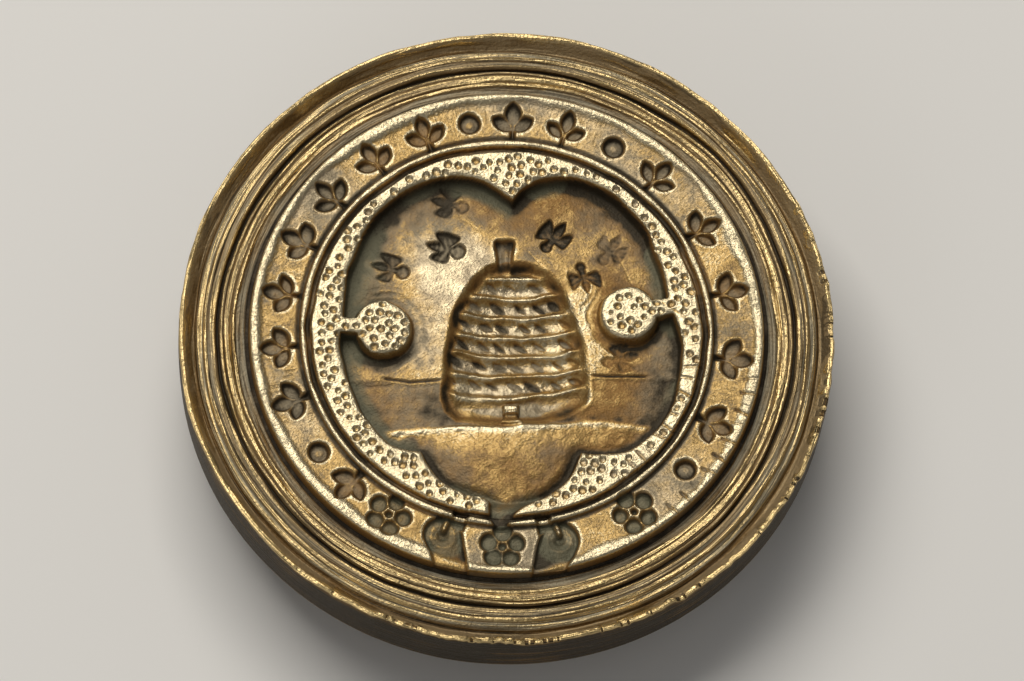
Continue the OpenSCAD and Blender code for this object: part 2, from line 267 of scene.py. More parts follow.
def lathe_tree():
    """Turns a section, a line of points (radius, 0, height), round the Z axis."""
    tree, start, (section, segments, waver, nicks, seed, finish) = new_tree("lathe", [
        ("Section", "Geometry"), ("Segments", "Int"), ("Waver", "Float"), ("Nicks", "Float"),
        ("Seed", "Float"), ("Finish", "Material")])
    rows = start.node("GeometryNodeAttributeDomainSize", {"component": "MESH"}, {"Geometry": section})
    sheet = start.node("GeometryNodeMeshGrid", None,
                       {"Size X": 1.0, "Size Y": 1.0, "Vertices X": segments + 1, "Vertices Y": rows})
    index = start.node("GeometryNodeInputIndex")
    row = index % rows
    turn = (index - row) / rows * math.tau / segments

    def along(value, kind="FLOAT"):
        """A value of the section's point that a point of the sheet comes from."""
        return start.node("GeometryNodeSampleIndex", {"data_type": kind, "domain": "POINT"},
                          {"Geometry": section, "Value": value, "Index": row})

    place = along(start.node("GeometryNodeInputPosition"), "FLOAT_VECTOR")
    radius = start.node("ShaderNodeSeparateXYZ", None, {0: place}, "X")
    height = start.node("ShaderNodeSeparateXYZ", None, {0: place}, "Z")
    loose = along(stored(start, "loose"))
    turned = along(stored(start, "turned"))
    cos_turn = start.maths("COSINE", turn)
    sin_turn = start.maths("SINE", turn)
    around = start.node("ShaderNodeCombineXYZ", None, {0: cos_turn, 1: sin_turn})

    def noise(scale, shift):
        """Noise round the piece that is the same across it."""
        return start.node("ShaderNodeTexNoise", {"noise_dimensions": "4D"},
                          {"Vector": around, "W": seed + shift, "Scale": scale, "Detail": noise_detail})

    def turned_noise(round_scale, across_scale, detail):
        """Noise that runs round the piece, in bands as wide as the scale across says."""
        vector = start.node("ShaderNodeCombineXYZ", None,
                            {0: cos_turn * round_scale, 1: sin_turn * round_scale,
                             2: radius * across_scale})
        return start.node("ShaderNodeTexNoise", None, {"Vector": vector, "Scale": 1.0, "Detail": detail})

    # Waves of the lip: slow ones everywhere, and ripples mostly on the knocked side.
    knocked = fade(cos_turn * knock_x + sin_turn * knock_y, knock_from, knock_full)
    wave = stirred(noise(2.2, 0.0) + noise(7.0, 1.7) * 0.6 - 0.8,
                   (noise(18.0, 3.1), 0.25 + knocked * 0.8))
    rolling = stirred(noise(4.0, 7.9) - 0.5, (noise(15.0, 9.4), 0.2 + knocked * 0.5))
    dent = crossing(noise(nick_pace, nick_shift), 0.05, 0.015)
    # Marks of the turning tool: chatter in patches, a slow swell and a drift to the side.
    patches = start.node("ShaderNodeMapRange", None,
                         {"Value": turned_noise(3.4, 1100.0, 2.0), "From Min": 0.36, "From Max": 0.64})
    chatter = (turned_noise(4.0, 6200.0, 1.0) - 0.5) * patches * chatter_depth
    swell = (turned_noise(3.0, 1500.0, 2.0) - 0.5) * swell_depth
    drift = turned_noise(2.6, 700.0, 3.0) - 0.5
    out = radius + loose * wave * waver * 2.0 + drift * turned * drift_width * MM
    level = height + loose * (rolling * waver * 2.2 - dent * knocked * nicks)
    level = level + (chatter + swell) * turned * MM
    spot = start.node("ShaderNodeCombineXYZ", None, {0: out * cos_turn, 1: out * sin_turn, 2: level})
    shape = start.node("GeometryNodeSetPosition", None, {"Geometry": sheet, "Position": spot})
    for name in ("wear_and_shade", "grime_and_shade", "film"):
        shape = store(shape, name, along(stored(start, name)))
    shape = start.node("GeometryNodeMergeByDistance", None, {"Geometry": shape, "Distance": seam_reach})
    shape = start.node("GeometryNodeFlipFaces", None, {"Mesh": shape})
    end_tree(start.node("GeometryNodeSetShadeSmooth", None, {"Geometry": shape}), finish)
    return tree


def keep_result(piece):
    """Makes the result of a piece's modifiers its plain mesh."""
    shown = piece.evaluated_get(bpy.context.evaluated_depsgraph_get())
    mesh = bpy.data.meshes.new_from_object(shown)
    piece.modifiers.clear()
    piece.data = mesh


def grown(name, mesh, tree, settings):
    """An object whose mesh is what a Geometry Nodes tree makes of another mesh."""
    piece = new_object(name, mesh)
    grower = piece.modifiers.new(tree.name, "NODES")
    grower.node_group = tree
    for item in tree.interface.items_tree:
        if item.name in settings:
            grower[item.identifier] = settings[item.name]
    keep_result(piece)
    return piece


def point_facts(mesh, facts):
    """Stores values of a mesh's points, each list under its name."""
    for name, values in facts.items():
        layer = mesh.attributes.new(name, "FLOAT", "POINT")
        layer.data.foreach_set("value", np.asarray(values, np.float32))


def section_mesh(name, points, facts):
    """A line of section points with what the lathe and the finish need to know of each."""
    mesh = bpy.data.meshes.new(name)
    mesh.from_pydata([(r * MM, 0, z * MM) for r, z in points], [], [])
    point_facts(mesh, facts)
    return mesh


def tint(share, colour_a, colour_b):
    """Mixes two colours by a flow."""
    return share.node("ShaderNodeMix", {"data_type": "RGBA"}, {0: share, 6: colour_a, 7: colour_b}, 2)


def grain(vector, scale, detail):
    """Noise about 0.5 on a vector flow."""
    return vector.node("ShaderNodeTexNoise", None, {"Vector": vector, "Scale": scale, "Detail": detail})


def vectors(operation, first, second=(0, 0, 0), out="Vector"):
    """One Vector Math node on flows."""
    return first.node("ShaderNodeVectorMath", {"operation": operation}, {0: first, 1: second}, out)


def stretched(vector, x, y, z):
    """A vector flow with its axes scaled."""
    return vectors("MULTIPLY", vector, (x, y, z))


def in_millimetres(flow):
    """The piece's own coordinates."""
    return stretched(flow.node("ShaderNodeTexCoord", None, None, "Object"), 1000, 1000, 1000)


def outwards(place):
    """Direction from the Z axis."""
    return vectors("NORMALIZE", stretched(place, 1, 1, 0))


def round_the_axis(place, pace, sharpness):
    """A vector that changes at this pace round the Z axis and quickly across it, for turned marks."""
    radius = vectors("LENGTH", stretched(place, 1, 1, 0), out="Value")
    height = place.node("ShaderNodeSeparateXYZ", None, {0: place}, "Z")
    depth = place.node("ShaderNodeCombineXYZ", None, {2: (radius - height * 0.8) * sharpness})
    return vectors("ADD", stretched(outwards(place), pace, pace, 0), depth)


def attribute(flow, name):
    """A value of the piece's points, for its finish."""
    return flow.node("ShaderNodeAttribute", {"attribute_name": name}, None, "Fac")


def metal_surface(flow, colour, roughness, metallic, bumps, bump_depth):
    """Ends a metal's material: the varying parts go to their own sockets."""
    bump = flow.node("ShaderNodeBump", None,
                     {"Strength": 1.0, "Distance": bump_depth * MM, "Height": bumps})
    shader = flow.node("ShaderNodeBsdfPrincipled", None,
                       {"Base Color": colour, "Roughness": roughness, "Metallic": metallic,
                        "Normal": bump})
    flow.node("ShaderNodeOutputMaterial", None, {"Surface": shader})


cup_low, cup_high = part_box("moulded_cup")
rim_r = cup_high.x / MM
rim_z = cup_high.z / MM
back_z = cup_low.z / MM
face_z = face_height / MM
seat_z = 5.3
seat_r = 13.55
die_stand = 0.8
trough_z = face_z - die_stand
lip_in_r = 16.66
lip_side = 0.18
back_edge_r = 0.6
back_ripple = 0.012
back_ripple_pace = 4.0
side_taper = 0.12
top_step = 0.034
score_lines = [14.22, 14.64, 15.47]
score_w = 0.032
score_depth = 0.05
cup_segments = 740
cup_seed = 4.0
lip_waver = 0.16 * MM
lip_nicks = 0.14 * MM
# Section of the moulding: radius, height from the rim, and how bright each line is rubbed.
moulding = np.array([
    (13.57, -0.17, 0.1), (13.75, -0.2, 0.1), (13.97, -0.18, 0.25), (14.05, -0.08, 0.8),
    (14.12, -0.05, 1.15), (14.2, -0.09, 0.75), (14.3, -0.04, 0.85), (14.42, 0.0, 1.0),
    (14.52, -0.01, 1.15), (14.6, -0.1, 0.45), (14.68, -0.09, 0.45), (14.77, -0.06, 1.15),
    (14.84, -0.17, 0.3), (14.9, -0.4, 0.0), (14.98, -0.4, 0.0), (15.05, -0.15, 0.3),
    (15.13, -0.03, 1.0), (15.25, -0.06, 0.5), (15.38, -0.1, 0.4), (15.5, -0.13, 0.4),
    (15.58, -0.09, 1.0), (15.66, -0.11, 1.15), (15.74, -0.24, 0.45), (15.82, -0.31, 0.6),
    (15.95, -0.33, 0.85), (16.05, -0.38, 0.6), (16.13, -0.54, 0.15), (16.22, -0.62, 0.0),
    (16.3, -0.6, 0.2), (16.4, -0.52, 0.4), (16.5, -0.39, 0.45), (16.6, -0.23, 0.45),
    (16.65, -0.14, 0.5)])
top_r = np.arange(seat_r + 0.02, lip_in_r, top_step)


def from_moulding(column):
    """A column of the moulding at every radius of the top, with its corners softened."""
    line = np.pad(np.interp(top_r, moulding[:, 0], moulding[:, column]), 1, "edge")
    return np.convolve(line, [0.25, 0.5, 0.25], "valid")


def strip(low, high):
    """1 on the ring of the top between two radii, with soft sides."""
    return rise(top_r, low - 0.04, low + 0.04) * rise(high + 0.04 - top_r, 0, 0.08)


scored = sum(hump(top_r, r, score_w) for r in score_lines)
top_z = rim_z + from_moulding(1) - score_depth * scored
top_worn = from_moulding(2)
lip = [(lip_in_r + 0.06, rim_z - 0.05), (lip_in_r + 0.12, rim_z - 0.015), (lip_in_r + 0.18, rim_z),
       (rim_r - 0.07, rim_z - 0.004), (rim_r - 0.03, rim_z - 0.03), (rim_r - 0.01, rim_z - 0.08),
       (rim_r, rim_z - lip_side)]
side = [(rim_r - side_taper * t ** 2, rim_z - lip_side - t * (rim_z - lip_side - back_z - back_edge_r))
        for t in np.linspace(0.1, 1, 8)]
edge_turns = np.radians(np.linspace(15, 90, 6))
edge_in = rim_r - side_taper - back_edge_r
edge = [(edge_in + back_edge_r * math.cos(t), back_z + back_edge_r * (1 - math.sin(t)))
        for t in edge_turns]
under = [(r, back_z + back_ripple * (1 + math.sin(r * back_ripple_pace)))
         for r in np.linspace(edge_in - 0.6, 0.0, 11)]
inside = [(0.0, seat_z), (6.0, seat_z), (12.0, seat_z), (seat_r - 0.05, seat_z),
          (seat_r, seat_z + 0.05), (seat_r, trough_z - 0.3), (seat_r, trough_z - 0.06)]
cup_points = np.array(inside + list(zip(top_r, top_z)) + lip + side + edge + under)
cup_count = len(cup_points)
top_from = len(inside)
lip_from = top_from + len(top_r)
side_from = lip_from + len(lip)
back_from = side_from + len(side)
on_top = slice(top_from, lip_from)
on_lip = slice(lip_from, side_from)

# How loose each point of the section hangs in the lip's waves: the lip and a few points by it.
lead_in = 4
lead_out = 3
lip_end = lead_in + len(lip) - 1
cup_loose = np.full(cup_count, 0.05)
cup_loose[:top_from] = 0
cup_loose[on_top] = 0.12
cup_loose[lip_from - lead_in:side_from + lead_out] = np.interp(
    np.arange(lip_end + lead_out + 1), [0, lead_in, lip_end, lip_end + lead_out], [0.3, 1, 1, 0.2])
cup_loose[-1] = 0
# How deep the turning tool's marks are.
cup_turned = np.full(cup_count, 0.05)
cup_turned[:top_from] = 0
cup_turned[on_top] = rise(top_r, seat_r, 13.9) - 0.8 * rise(top_r, 16.45, lip_in_r)
cup_turned[on_lip] = 0.12
cup_turned[-1] = 0
# How bright the brass is rubbed; the plain side is set low, which paints it dark as shade.
cup_wear_and_shade = np.full(cup_count, 0.05)
cup_wear_and_shade[on_top] = top_worn - 0.5 * scored
cup_wear_and_shade[on_lip] = [0.7, 1.3, 1.7, 1.8, 1.6, 1.0, 0.2]
# The plain side is painted dark, as shade.
cup_wear_and_shade[side_from:back_from] = -0.25
cup_wear_and_shade[back_from:back_from + len(edge)] = 0.4
# How much of a grey film lies on it.
cup_film = np.zeros(cup_count)
cup_film[back_from:] = 0.5
cup_film[on_top] = 0.6 * strip(13.6, 14.03) + strip(15.75, 16.08) + 0.5 * strip(15.2, 15.5)
cup_film[on_top] -= strip(16.15, lip_in_r) + 0.5 * strip(14.84, 15.03)
# How dirty it is, and how dark it is painted as shade beside the die's foot, on the lip's outer edge and
# on the plain side.
cup_grime_and_shade = np.full(cup_count, 0.95)
cup_grime_and_shade[:top_from] = 1
cup_grime_and_shade[on_top] = 0.5 - 0.5 * top_worn
cup_grime_and_shade[on_top] += 0.75 * scored
# Darker in the quirk groove, and beside the die's foot as painted shade.
cup_grime_and_shade[on_top] += 0.7 * strip(14.87, 15.02) + 0.5 * rise(13.72 - top_r, 0, 0.12)
cup_grime_and_shade[on_top] += 0.35 * strip(16.12, 16.24)
# Toward the lip's outer edge and down the plain side the dark is painted shade.
cup_grime_and_shade[on_lip] = [0.2, 0.0, 0.0, 0.0, 0.2, 0.4, 0.7]
cup_grime_and_shade[side_from:back_from] = 1.1
cup_grime_and_shade[back_from:] = 0.55

cup_bright = (0.64, 0.48, 0.23, 1.0)
cup_tan = (0.335, 0.245, 0.13, 1.0)
cup_brown = (0.16, 0.092, 0.028, 1.0)
cup_dark = (0.045, 0.034, 0.02, 1.0)
cup_grey = (0.30, 0.27, 0.195, 1.0)
cup_finish, flow = new_material("turned_brass")
place = in_millimetres(flow)
wear_and_shade = attribute(flow, "wear_and_shade")
streaks = grain(round_the_axis(place, 5.0, 4.5), 1.0, 3.0)
lines = grain(round_the_axis(place, 2.5, 9.0), 1.0, 2.0)
hairs = grain(round_the_axis(place, 2.2, 12.0), 1.0, 1.0)
blotch = grain(place, 0.5, 4.0)
speck = grain(place, 6.0, 3.0)
knocked = vectors("DOT_PRODUCT", outwards(place), (knock_x, knock_y, 0), "Value")
cuts = flow.node("ShaderNodeTexNoise", {"noise_dimensions": "4D"},
                 {"Vector": outwards(place), "W": cup_seed + nick_shift, "Scale": nick_pace,
                  "Detail": noise_detail})
cuts = crossing(cuts, 0.024, 0.008) * fade(knocked, knock_from, knock_full) * fade(wear_and_shade, 0.9, 1.4)
cup_rub = stirred(wear_and_shade, (streaks, 1.5), (lines, 1.6), (blotch, 0.6), (speck, 0.3))
cup_rub = cup_rub + fade(hairs, 0.58, 0.7) * fade(wear_and_shade, 0.05, 0.45) * 0.8 - cuts * 1.6
# Dirt, and painted shade on the side, by the die and at the lip's edge, darken the brass.
cup_dirt_and_shade = stirred(attribute(flow, "grime_and_shade"), (lines, 1.8), (blotch, 0.6), (speck, 0.3)) + cuts
cup_tone = tint(fade(cup_dirt_and_shade, 0.25, 0.62), cup_tan, cup_brown)
cup_tone = tint(fade(cup_dirt_and_shade, 0.62, 1.05), cup_tone, cup_dark)
cup_mist = stirred(attribute(flow, "film"), (streaks, 1.6), (blotch, 0.8))
cup_tone = tint(fade(cup_mist, 0.2, 0.9) * 0.8, cup_tone, cup_grey)
cup_tone = tint(fade(cup_rub, 0.5, 1.1), cup_tone, cup_bright)
cup_tone = tint(fade(hairs, 0.42, 0.32) * 0.6, cup_tone, cup_dark)
metal_surface(flow, cup_tone,
              roughness=stirred(0.6 - fade(cup_rub, 0.45, 1.0) * 0.26, (speck, 0.15)),
              metallic=0.7 + fade(cup_rub, 0.4, 0.9) * 0.3,
              bumps=lines * 0.8 + hairs * 0.4 + speck * 0.5 - cuts * 0.5, bump_depth=0.12)

lathe = lathe_tree()
cup_section = section_mesh("cup_section", cup_points, {
    "loose": cup_loose, "turned": cup_turned, "wear_and_shade": cup_wear_and_shade, "grime_and_shade": cup_grime_and_shade, "film": cup_film})
cup = grown("moulded_cup_turned", cup_section, lathe,
            {"Segments": cup_segments, "Waver": lip_waver, "Nicks": lip_nicks, "Seed": cup_seed,
             "Finish": cup_finish})
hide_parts("moulded_cup")
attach(cup, "seal")


# Solder seam: the soft solder that beds the die in the cup, dull grey and uneven where it
# shows as a thin line round the foot of the die. The same lathe turns it.
die_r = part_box("seal_die")[1].x / MM
die_back_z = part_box("seal_die")[0].z / MM
bed_mid_r = 12.0
seam_root = 0.5
solder_points = [(0.0, die_back_z), (bed_mid_r, die_back_z), (die_r, die_back_z),
                 (die_r, trough_z - seam_root), (die_r, trough_z + 0.08),
                 (die_r + 0.05, trough_z - 0.01), (seat_r - 0.04, trough_z - 0.02),
                 (seat_r, trough_z + 0.03), (seat_r, trough_z - seam_root), (seat_r, seat_z),
                 (bed_mid_r, seat_z), (0.0, seat_z)]
solder_loose = [0, 0, 0, 0, 1, 1, 1, 1, 0, 0, 0, 0]
bare = [0] * len(solder_points)
solder_segments = 720
solder_waver = 0.03 * MM
solder_seed = 11.0
solder_light = (0.085, 0.062, 0.035, 1.0)
solder_dark = (0.03, 0.021, 0.011, 1.0)
solder_finish, flow = new_material("soft_solder")
place = in_millimetres(flow)
crust = grain(place, 1.3, 4.0)
pits = grain(place, 9.0, 2.0)
solder_tone = tint(fade(stirred(crust, (pits, 0.6)), 0.4, 0.75), solder_dark, solder_light)
metal_surface(flow, solder_tone, roughness=0.8 - (crust - 0.5) * 0.3,
              metallic=stirred(0.3, (pits, 0.2)), bumps=pits, bump_depth=0.04)
solder_section = section_mesh("solder_section", solder_points, {
    "loose": solder_loose, "turned": bare, "wear_and_shade": bare, "grime_and_shade": [1] * len(bare), "film": bare})
solder = grown("solder_seam_run", solder_section, lathe,
               {"Segments": solder_segments, "Waver": solder_waver, "Nicks": 0.0, "Seed": solder_seed,
                "Finish": solder_finish})
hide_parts("solder_seam")
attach(solder, "seal")


# Seal die: the engraved brass disc, cut by hand. Its relief is drawn by rule on a fine raster
# of heights, in millimetres from the face, and draped over two closed meshes that meet in the
# groove: the border ring and the table with its sunk cartouche, hive and bees.
cells = 800
raster_half = die_r + 0.2
cell = 2 * raster_half / cells
ruler = ((np.arange(cells) + 0.5) * cell - raster_half).astype(np.float32)
X, Y = np.meshgrid(ruler, ruler)
R = np.hypot(X, Y)
seeds = np.random.default_rng(27)
far_off = 9.0
tiny = 1e-9


def blank(value=0.0):
    """A raster with the same value in every cell."""
    return np.full(X.shape, value, np.float32)


def blurred(sheet, reach):
    """A raster blurred by a bell curve of this reach in millimetres."""
    pitch = np.fft.fftfreq(cells, cell)
    gain = np.exp(-2 * (math.pi * reach * pitch) ** 2)
    return np.fft.ifft2(np.fft.fft2(sheet) * gain * gain[:, None]).real.astype(np.float32)


def roughness_of(size):
    """Seeded noise with bumps of about this size, with a spread of 1."""
    sheet = blurred(seeds.standard_normal((cells, cells)), size)
    return sheet / sheet.std()


def drawn(low, spread):
    """A seeded number from low up to low and spread."""
    return low + spread * seeds.random()


def mixed(sheet_a, sheet_b, share):
    """The first raster where the share is 0, the second where it is 1."""
    return sheet_a * (1 - share) + sheet_b * share


def outline_distance(points):
    """Distance of every cell from a closed outline, negative inside."""
    nearest = blank(1e6)
    within = np.zeros(X.shape, bool)
    for (ax, ay), (bx, by) in zip(points, np.roll(points, -1, axis=0)):
        ex = bx - ax
        ey = by - ay
        wx = X - np.float32(ax)
        wy = Y - np.float32(ay)
        t = np.clip((wx * ex + wy * ey) / (ex * ex + ey * ey + tiny), 0, 1)
        nearest = np.minimum(nearest, (wx - t * ex) ** 2 + (wy - t * ey) ** 2)
        within ^= ((ay > Y) != (by > Y)) & (wx < ex * wy / (ey if abs(ey) > tiny else tiny))
    return np.sqrt(nearest) * np.where(within, -1, 1)


def line_distance(x, y, start, end):
    """Distance from a straight stroke."""
    ax, ay = start
    ex = end[0] - ax
    ey = end[1] - ay
    t = np.clip(((x - ax) * ex + (y - ay) * ey) / (ex * ex + ey * ey), 0, 1)
    return np.hypot(x - ax - t * ex, y - ay - t * ey)


def leaf_distance(x, y, length, width):
    """Distance from a lens-shaped leaf that grows from the origin along +Y, negative inside."""
    r = (length * length + width * width) / (4 * width)
    return np.hypot(np.abs(x) + r - width / 2, y - length / 2) - r


def block_distance(x, y, half_x, half_y):
    """Distance from a block about the origin, negative inside."""
    return np.maximum(np.abs(x) - half_x, np.abs(y) - half_y)


def both(a, b, ease):
    """Distance from the common part of two shapes, with corners eased by this much."""
    return 0.5 * (a + b + np.sqrt((a - b) ** 2 + ease * ease))


def turned_to(x, y, degrees):
    """Coordinates as seen by a shape that is turned anticlockwise by this angle."""
    c = math.cos(math.radians(degrees))
    s = math.sin(math.radians(degrees))
    return c * x + s * y, c * y - s * x


def sunk(distance, depth, slope):
    """Depth of a cut whose wall is slope wide about its outline."""
    return -depth * rise(-distance, -slope / 2, slope / 2)


def spline_stretch(points, steps):
    """Smooth curve through [angle, width] points, without its last point."""
    points = np.array(points, float)
    made = []
    for i in range(len(points) - 1):
        a, b, c, d = (points[np.clip(k, 0, len(points) - 1)] for k in (i - 1, i, i + 1, i + 2))
        for t in np.arange(steps) / steps:
            made.append(0.5 * (2 * b + (c - a) * t + (2 * a - 5 * b + 4 * c - d) * t ** 2
                               + (3 * b - a - 3 * c + d) * t ** 3))
    return made


wobble = roughness_of(0.45)
fine = roughness_of(0.07)
broad = roughness_of(1.6)
hand = 0.035 * wobble

# The cartouche's edge: table width left at each angle from the top, in stretches that meet at
# cusps. The left side counts its angles anticlockwise.
table_r = 10.1
right_edge = [[[3, 2.75], [10, 1.5], [19, 0.85], [33, 0.55], [51, 0.8], [67, 1.2], [77, 1.55]],
              [[77, 1.55], [88, 1.15], [97, 0.95], [111, 0.7], [125, 0.7], [138, 1.2], [150, 2.45]],
              [[150, 2.45], [158, 1.5], [167, 0.85], [176, 0.3], [181.5, -0.5]]]
left_edge = [[[-3, 2.75], [8, 1.6], [20, 0.9], [33, 0.6], [51, 0.85], [67, 1.25], [86, 1.6]],
             [[86, 1.6], [96, 1.45], [106, 1.4], [116, 1.4], [127, 1.35], [137, 1.5], [146, 2.1]],
             [[146, 2.1], [157, 1.2], [166, 0.85], [173.5, 0.6], [178.5, -0.5]]]
curve_steps = 5
tip_turn = math.radians(181.5)
tip_r = table_r + 0.5
tip_from = (-0.36, -9.0)
tip_to = (-0.45, -10.35)
tip_half = 0.68
tip_narrows = 0.3
roundel_r = 1.43
roundel_at = table_r - 3.65
roundel_turns = (79.5, -87.5)
neck_half = 0.45


def edge_points(stretches, way):
    """Points of the cartouche's edge on one side, from the top down."""
    turns = [point for stretch in stretches for point in spline_stretch(stretch, curve_steps)]
    return [(way * (table_r - w) * math.sin(math.radians(a)), (table_r - w) * math.cos(math.radians(a)))
            for a, w in turns]


tip = (tip_r * math.sin(tip_turn), tip_r * math.cos(tip_turn))
edge_line = edge_points(right_edge, 1) + [tip] + edge_points(left_edge, -1)[:0:-1]
tip_run = line_distance(X, Y, tip_from, tip_to) - tip_half + tip_narrows * rise(-Y, 9.5, 10.8)
cartouche = np.minimum(outline_distance(np.array(edge_line)), tip_run)
islands = blank(far_off)
roundel_gap = blank(far_off)
for roundel_turn in roundel_turns:
    rx = math.sin(math.radians(roundel_turn))
    ry = math.cos(math.radians(roundel_turn))
    middle = (rx * roundel_at, ry * roundel_at)
    disc = np.hypot(X - middle[0], Y - middle[1]) - roundel_r
    neck = line_distance(X, Y, middle, (rx * table_r, ry * table_r)) - neck_half
    islands = np.minimum(islands, np.minimum(disc, neck))
    roundel_gap = np.minimum(roundel_gap, disc)
field_gap = np.maximum(cartouche, -islands) + hand
in_field = rise(-field_gap, -0.04, 0.2)

# The sunk field: a shallow dish, lowest along its edge, with tool marks round the roundels.
field_depth = 1.05
field_rise = 0.35
edge_sink = 0.05
ring_pace = 15
ring_depth = 0.016
field = -field_depth + field_rise * (1 - (R / table_r) ** 2)
field -= edge_sink * hump(field_gap, -0.45, 0.4)
ring_reach = rise(0.6 - np.abs(roundel_gap - 0.7), 0, 0.5)
inner_side = rise(roundel_at + 0.9 - np.abs(X), 0, 0.8)
tool_rings = np.sin(roundel_gap * ring_pace + wobble * 1.5) * ring_reach * inner_side
tool_rings = tool_rings * np.maximum(rise(broad + 0.6 * wobble, -0.6, 0.8), 0.8 * (X < 0))
field += ring_depth * tool_rings + 0.016 * broad + 0.006 * wobble + 0.004 * fine

# The hive: a hollow of straw coils that leans a little to the left as it rises, over a bowed foot.
hive_w = 7.8
hive_h = 8.5
hive_foot = 4.32
hive_x = 0.55
hive_lean = 0.012
side_power = 0.78
top_power = 0.88
foot = [(-3.7, 0.22), (-3.15, -0.33), (-2.0, -0.47), (-0.55, -0.55), (0.5, -0.5), (1.45, -0.36),
        (2.3, -0.12), (2.85, 0.1), (3.45, 0.42), (3.7, 0.6)]
wall_depth = 0.36
belly_depth = 0.34
belly_reach = 1.9
first_ridge = 1.15
coil_pitch = 1.088
coil_rows = 6
row_sag = 0.028
row_depth = 0.14
ridge_height = 0.17
binding_depth = 0.13
straw_grain = 0.018
hx = X - hive_x + hive_lean * (Y + hive_foot)
hy = Y + hive_foot
side_turns = np.radians(np.linspace(0, 90, 21))
bell = [(hive_w / 2 * math.cos(t) ** side_power, hive_h * math.sin(t) ** top_power)
        for t in side_turns[:-1]]
bell = bell[1:] + [(0.0, hive_h)] + [(-x, y) for x, y in bell[:0:-1]] + foot
bell = [(x + hive_x - hive_lean * y, y - hive_foot) for x, y in bell]
hive_gap = outline_distance(np.array(bell)) + hand * 0.7
wall_w = 0.42 + 0.25 * rise(X, 1.5, 3.5) + 0.06 * wobble
hollow = rise(-hive_gap / wall_w, -0.25, 1.0) * wall_depth
hollow = hollow + rise(-hive_gap, 0.0, belly_reach) * belly_depth
sag = row_sag * hx ** 2 + hx * (0.02 + 0.07 * np.clip(1 - hy / 3.2, 0, 1))
coil = 1 + (hy - first_ridge - sag + 0.05 * wobble) / coil_pitch
coil_part = coil - np.floor(coil)
row_part = np.where(coil < 1, np.clip((coil + 0.5) / 1.5, 0, 1), coil_part)
ridge_gap = np.minimum(coil_part, 1 - coil_part) * coil_pitch
in_hive = rise(-hive_gap, 0.08, 0.42)
rows_only = rise(-hive_gap, 0.25, 0.7) * (coil > 0.6) * (coil < coil_rows + 1.4)
ridge_w = 0.165 + 0.03 * (coil < 1.5) + 0.03 * wobble
ridge = hump(ridge_gap, 0, ridge_w) * rows_only
groove = np.sin(np.pi * np.clip(row_part, 0, 1)) * in_hive
binding = blank()
for row in range(1, coil_rows + 1):
    row_y = first_ridge + coil_pitch * (row - 0.42)
    row_half = hive_w / 2 * (1 - (row_y / (hive_h + 0.7)) ** 2.6) - 0.4
    binding_x = drawn(-row_half, 0.35)
    while binding_x < row_half:
        lx, ly = turned_to(hx - binding_x, hy - row_y - row_sag * binding_x ** 2, drawn(50, 16))
        length = drawn(0.8, 0.35)
        cut = leaf_distance(lx, ly + length / 2, length, drawn(0.24, 0.18))
        binding = np.maximum(binding, rise(-(cut + hand * 0.7), -0.03, 0.08) * drawn(0.55, 0.45))
        binding_x += drawn(0.8, 0.5)
binding = binding * rise(-hive_gap, 0.1, 0.4)
field -= hollow
field += (ridge_height * ridge - row_depth * groove - binding_depth * binding
          + straw_grain * roughness_of(0.12) * in_hive)

# The hive's finial with its bar, the two eyes beside it, and the door block on its step.
finial_x = -0.06
finial_y = 3.86
finial_corner = 0.14
finial_depth = 0.36
bar_half = 0.22
bar_height = 0.14
eyes = [(-0.75, 0.14), (0.87, 0.4)]
eye_r = 0.17
eye_depth = 0.13
door_x = 0.22
door_y = -3.88
door_height = 0.34
step_y = -4.4
step_height = 0.26
finial_half = 0.36 + 0.12 * rise(Y, finial_y + 0.3, finial_y + 1.3)
finial_side = np.abs(X - finial_x) - finial_half + finial_corner
finial_end = np.abs(Y - finial_y - 0.6) - 0.76
finial_in = np.maximum(finial_side, finial_end)
finial_out = np.hypot(np.maximum(finial_side, 0), np.maximum(finial_end, 0))
finial = np.where(finial_in > 0, finial_out, finial_in) - finial_corner + hand
bar_ends = ((finial_x + 0.12, finial_y - 0.2), (finial_x + 0.1, finial_y + 0.9))
finial_bar = line_distance(X, Y, *bar_ends) - bar_half + hand * 0.5
field += sunk(finial, finial_depth, 0.24) * rise(hive_gap, -0.5, 0.2)
field += bar_height * rise(-finial_bar, -0.12, 0.2) * rise(hive_gap, -0.75, -0.1)
eye_marks = blank()
for eye_x, eye_half in eyes:
    eye_ends = ((eye_x - eye_half, finial_y - 0.06), (eye_x + eye_half, finial_y - 0.02))
    eye_marks = np.maximum(eye_marks, rise(eye_r - line_distance(X, Y, *eye_ends), -0.08, 0.1))
field -= eye_depth * eye_marks
door = block_distance(X - door_x, Y - door_y, 0.41, 0.29)
step_half = 0.38 + 0.24 * rise(-Y, 4.35, 4.8)
door_step = block_distance(X - door_x, Y - step_y, step_half, 0.43)
field += (door_height * rise(-door - hand * 0.5, -0.06, 0.08)
          + step_height * rise(-door_step, -0.06, 0.12))
door_mark = rise(-door, -0.03, 0.08)

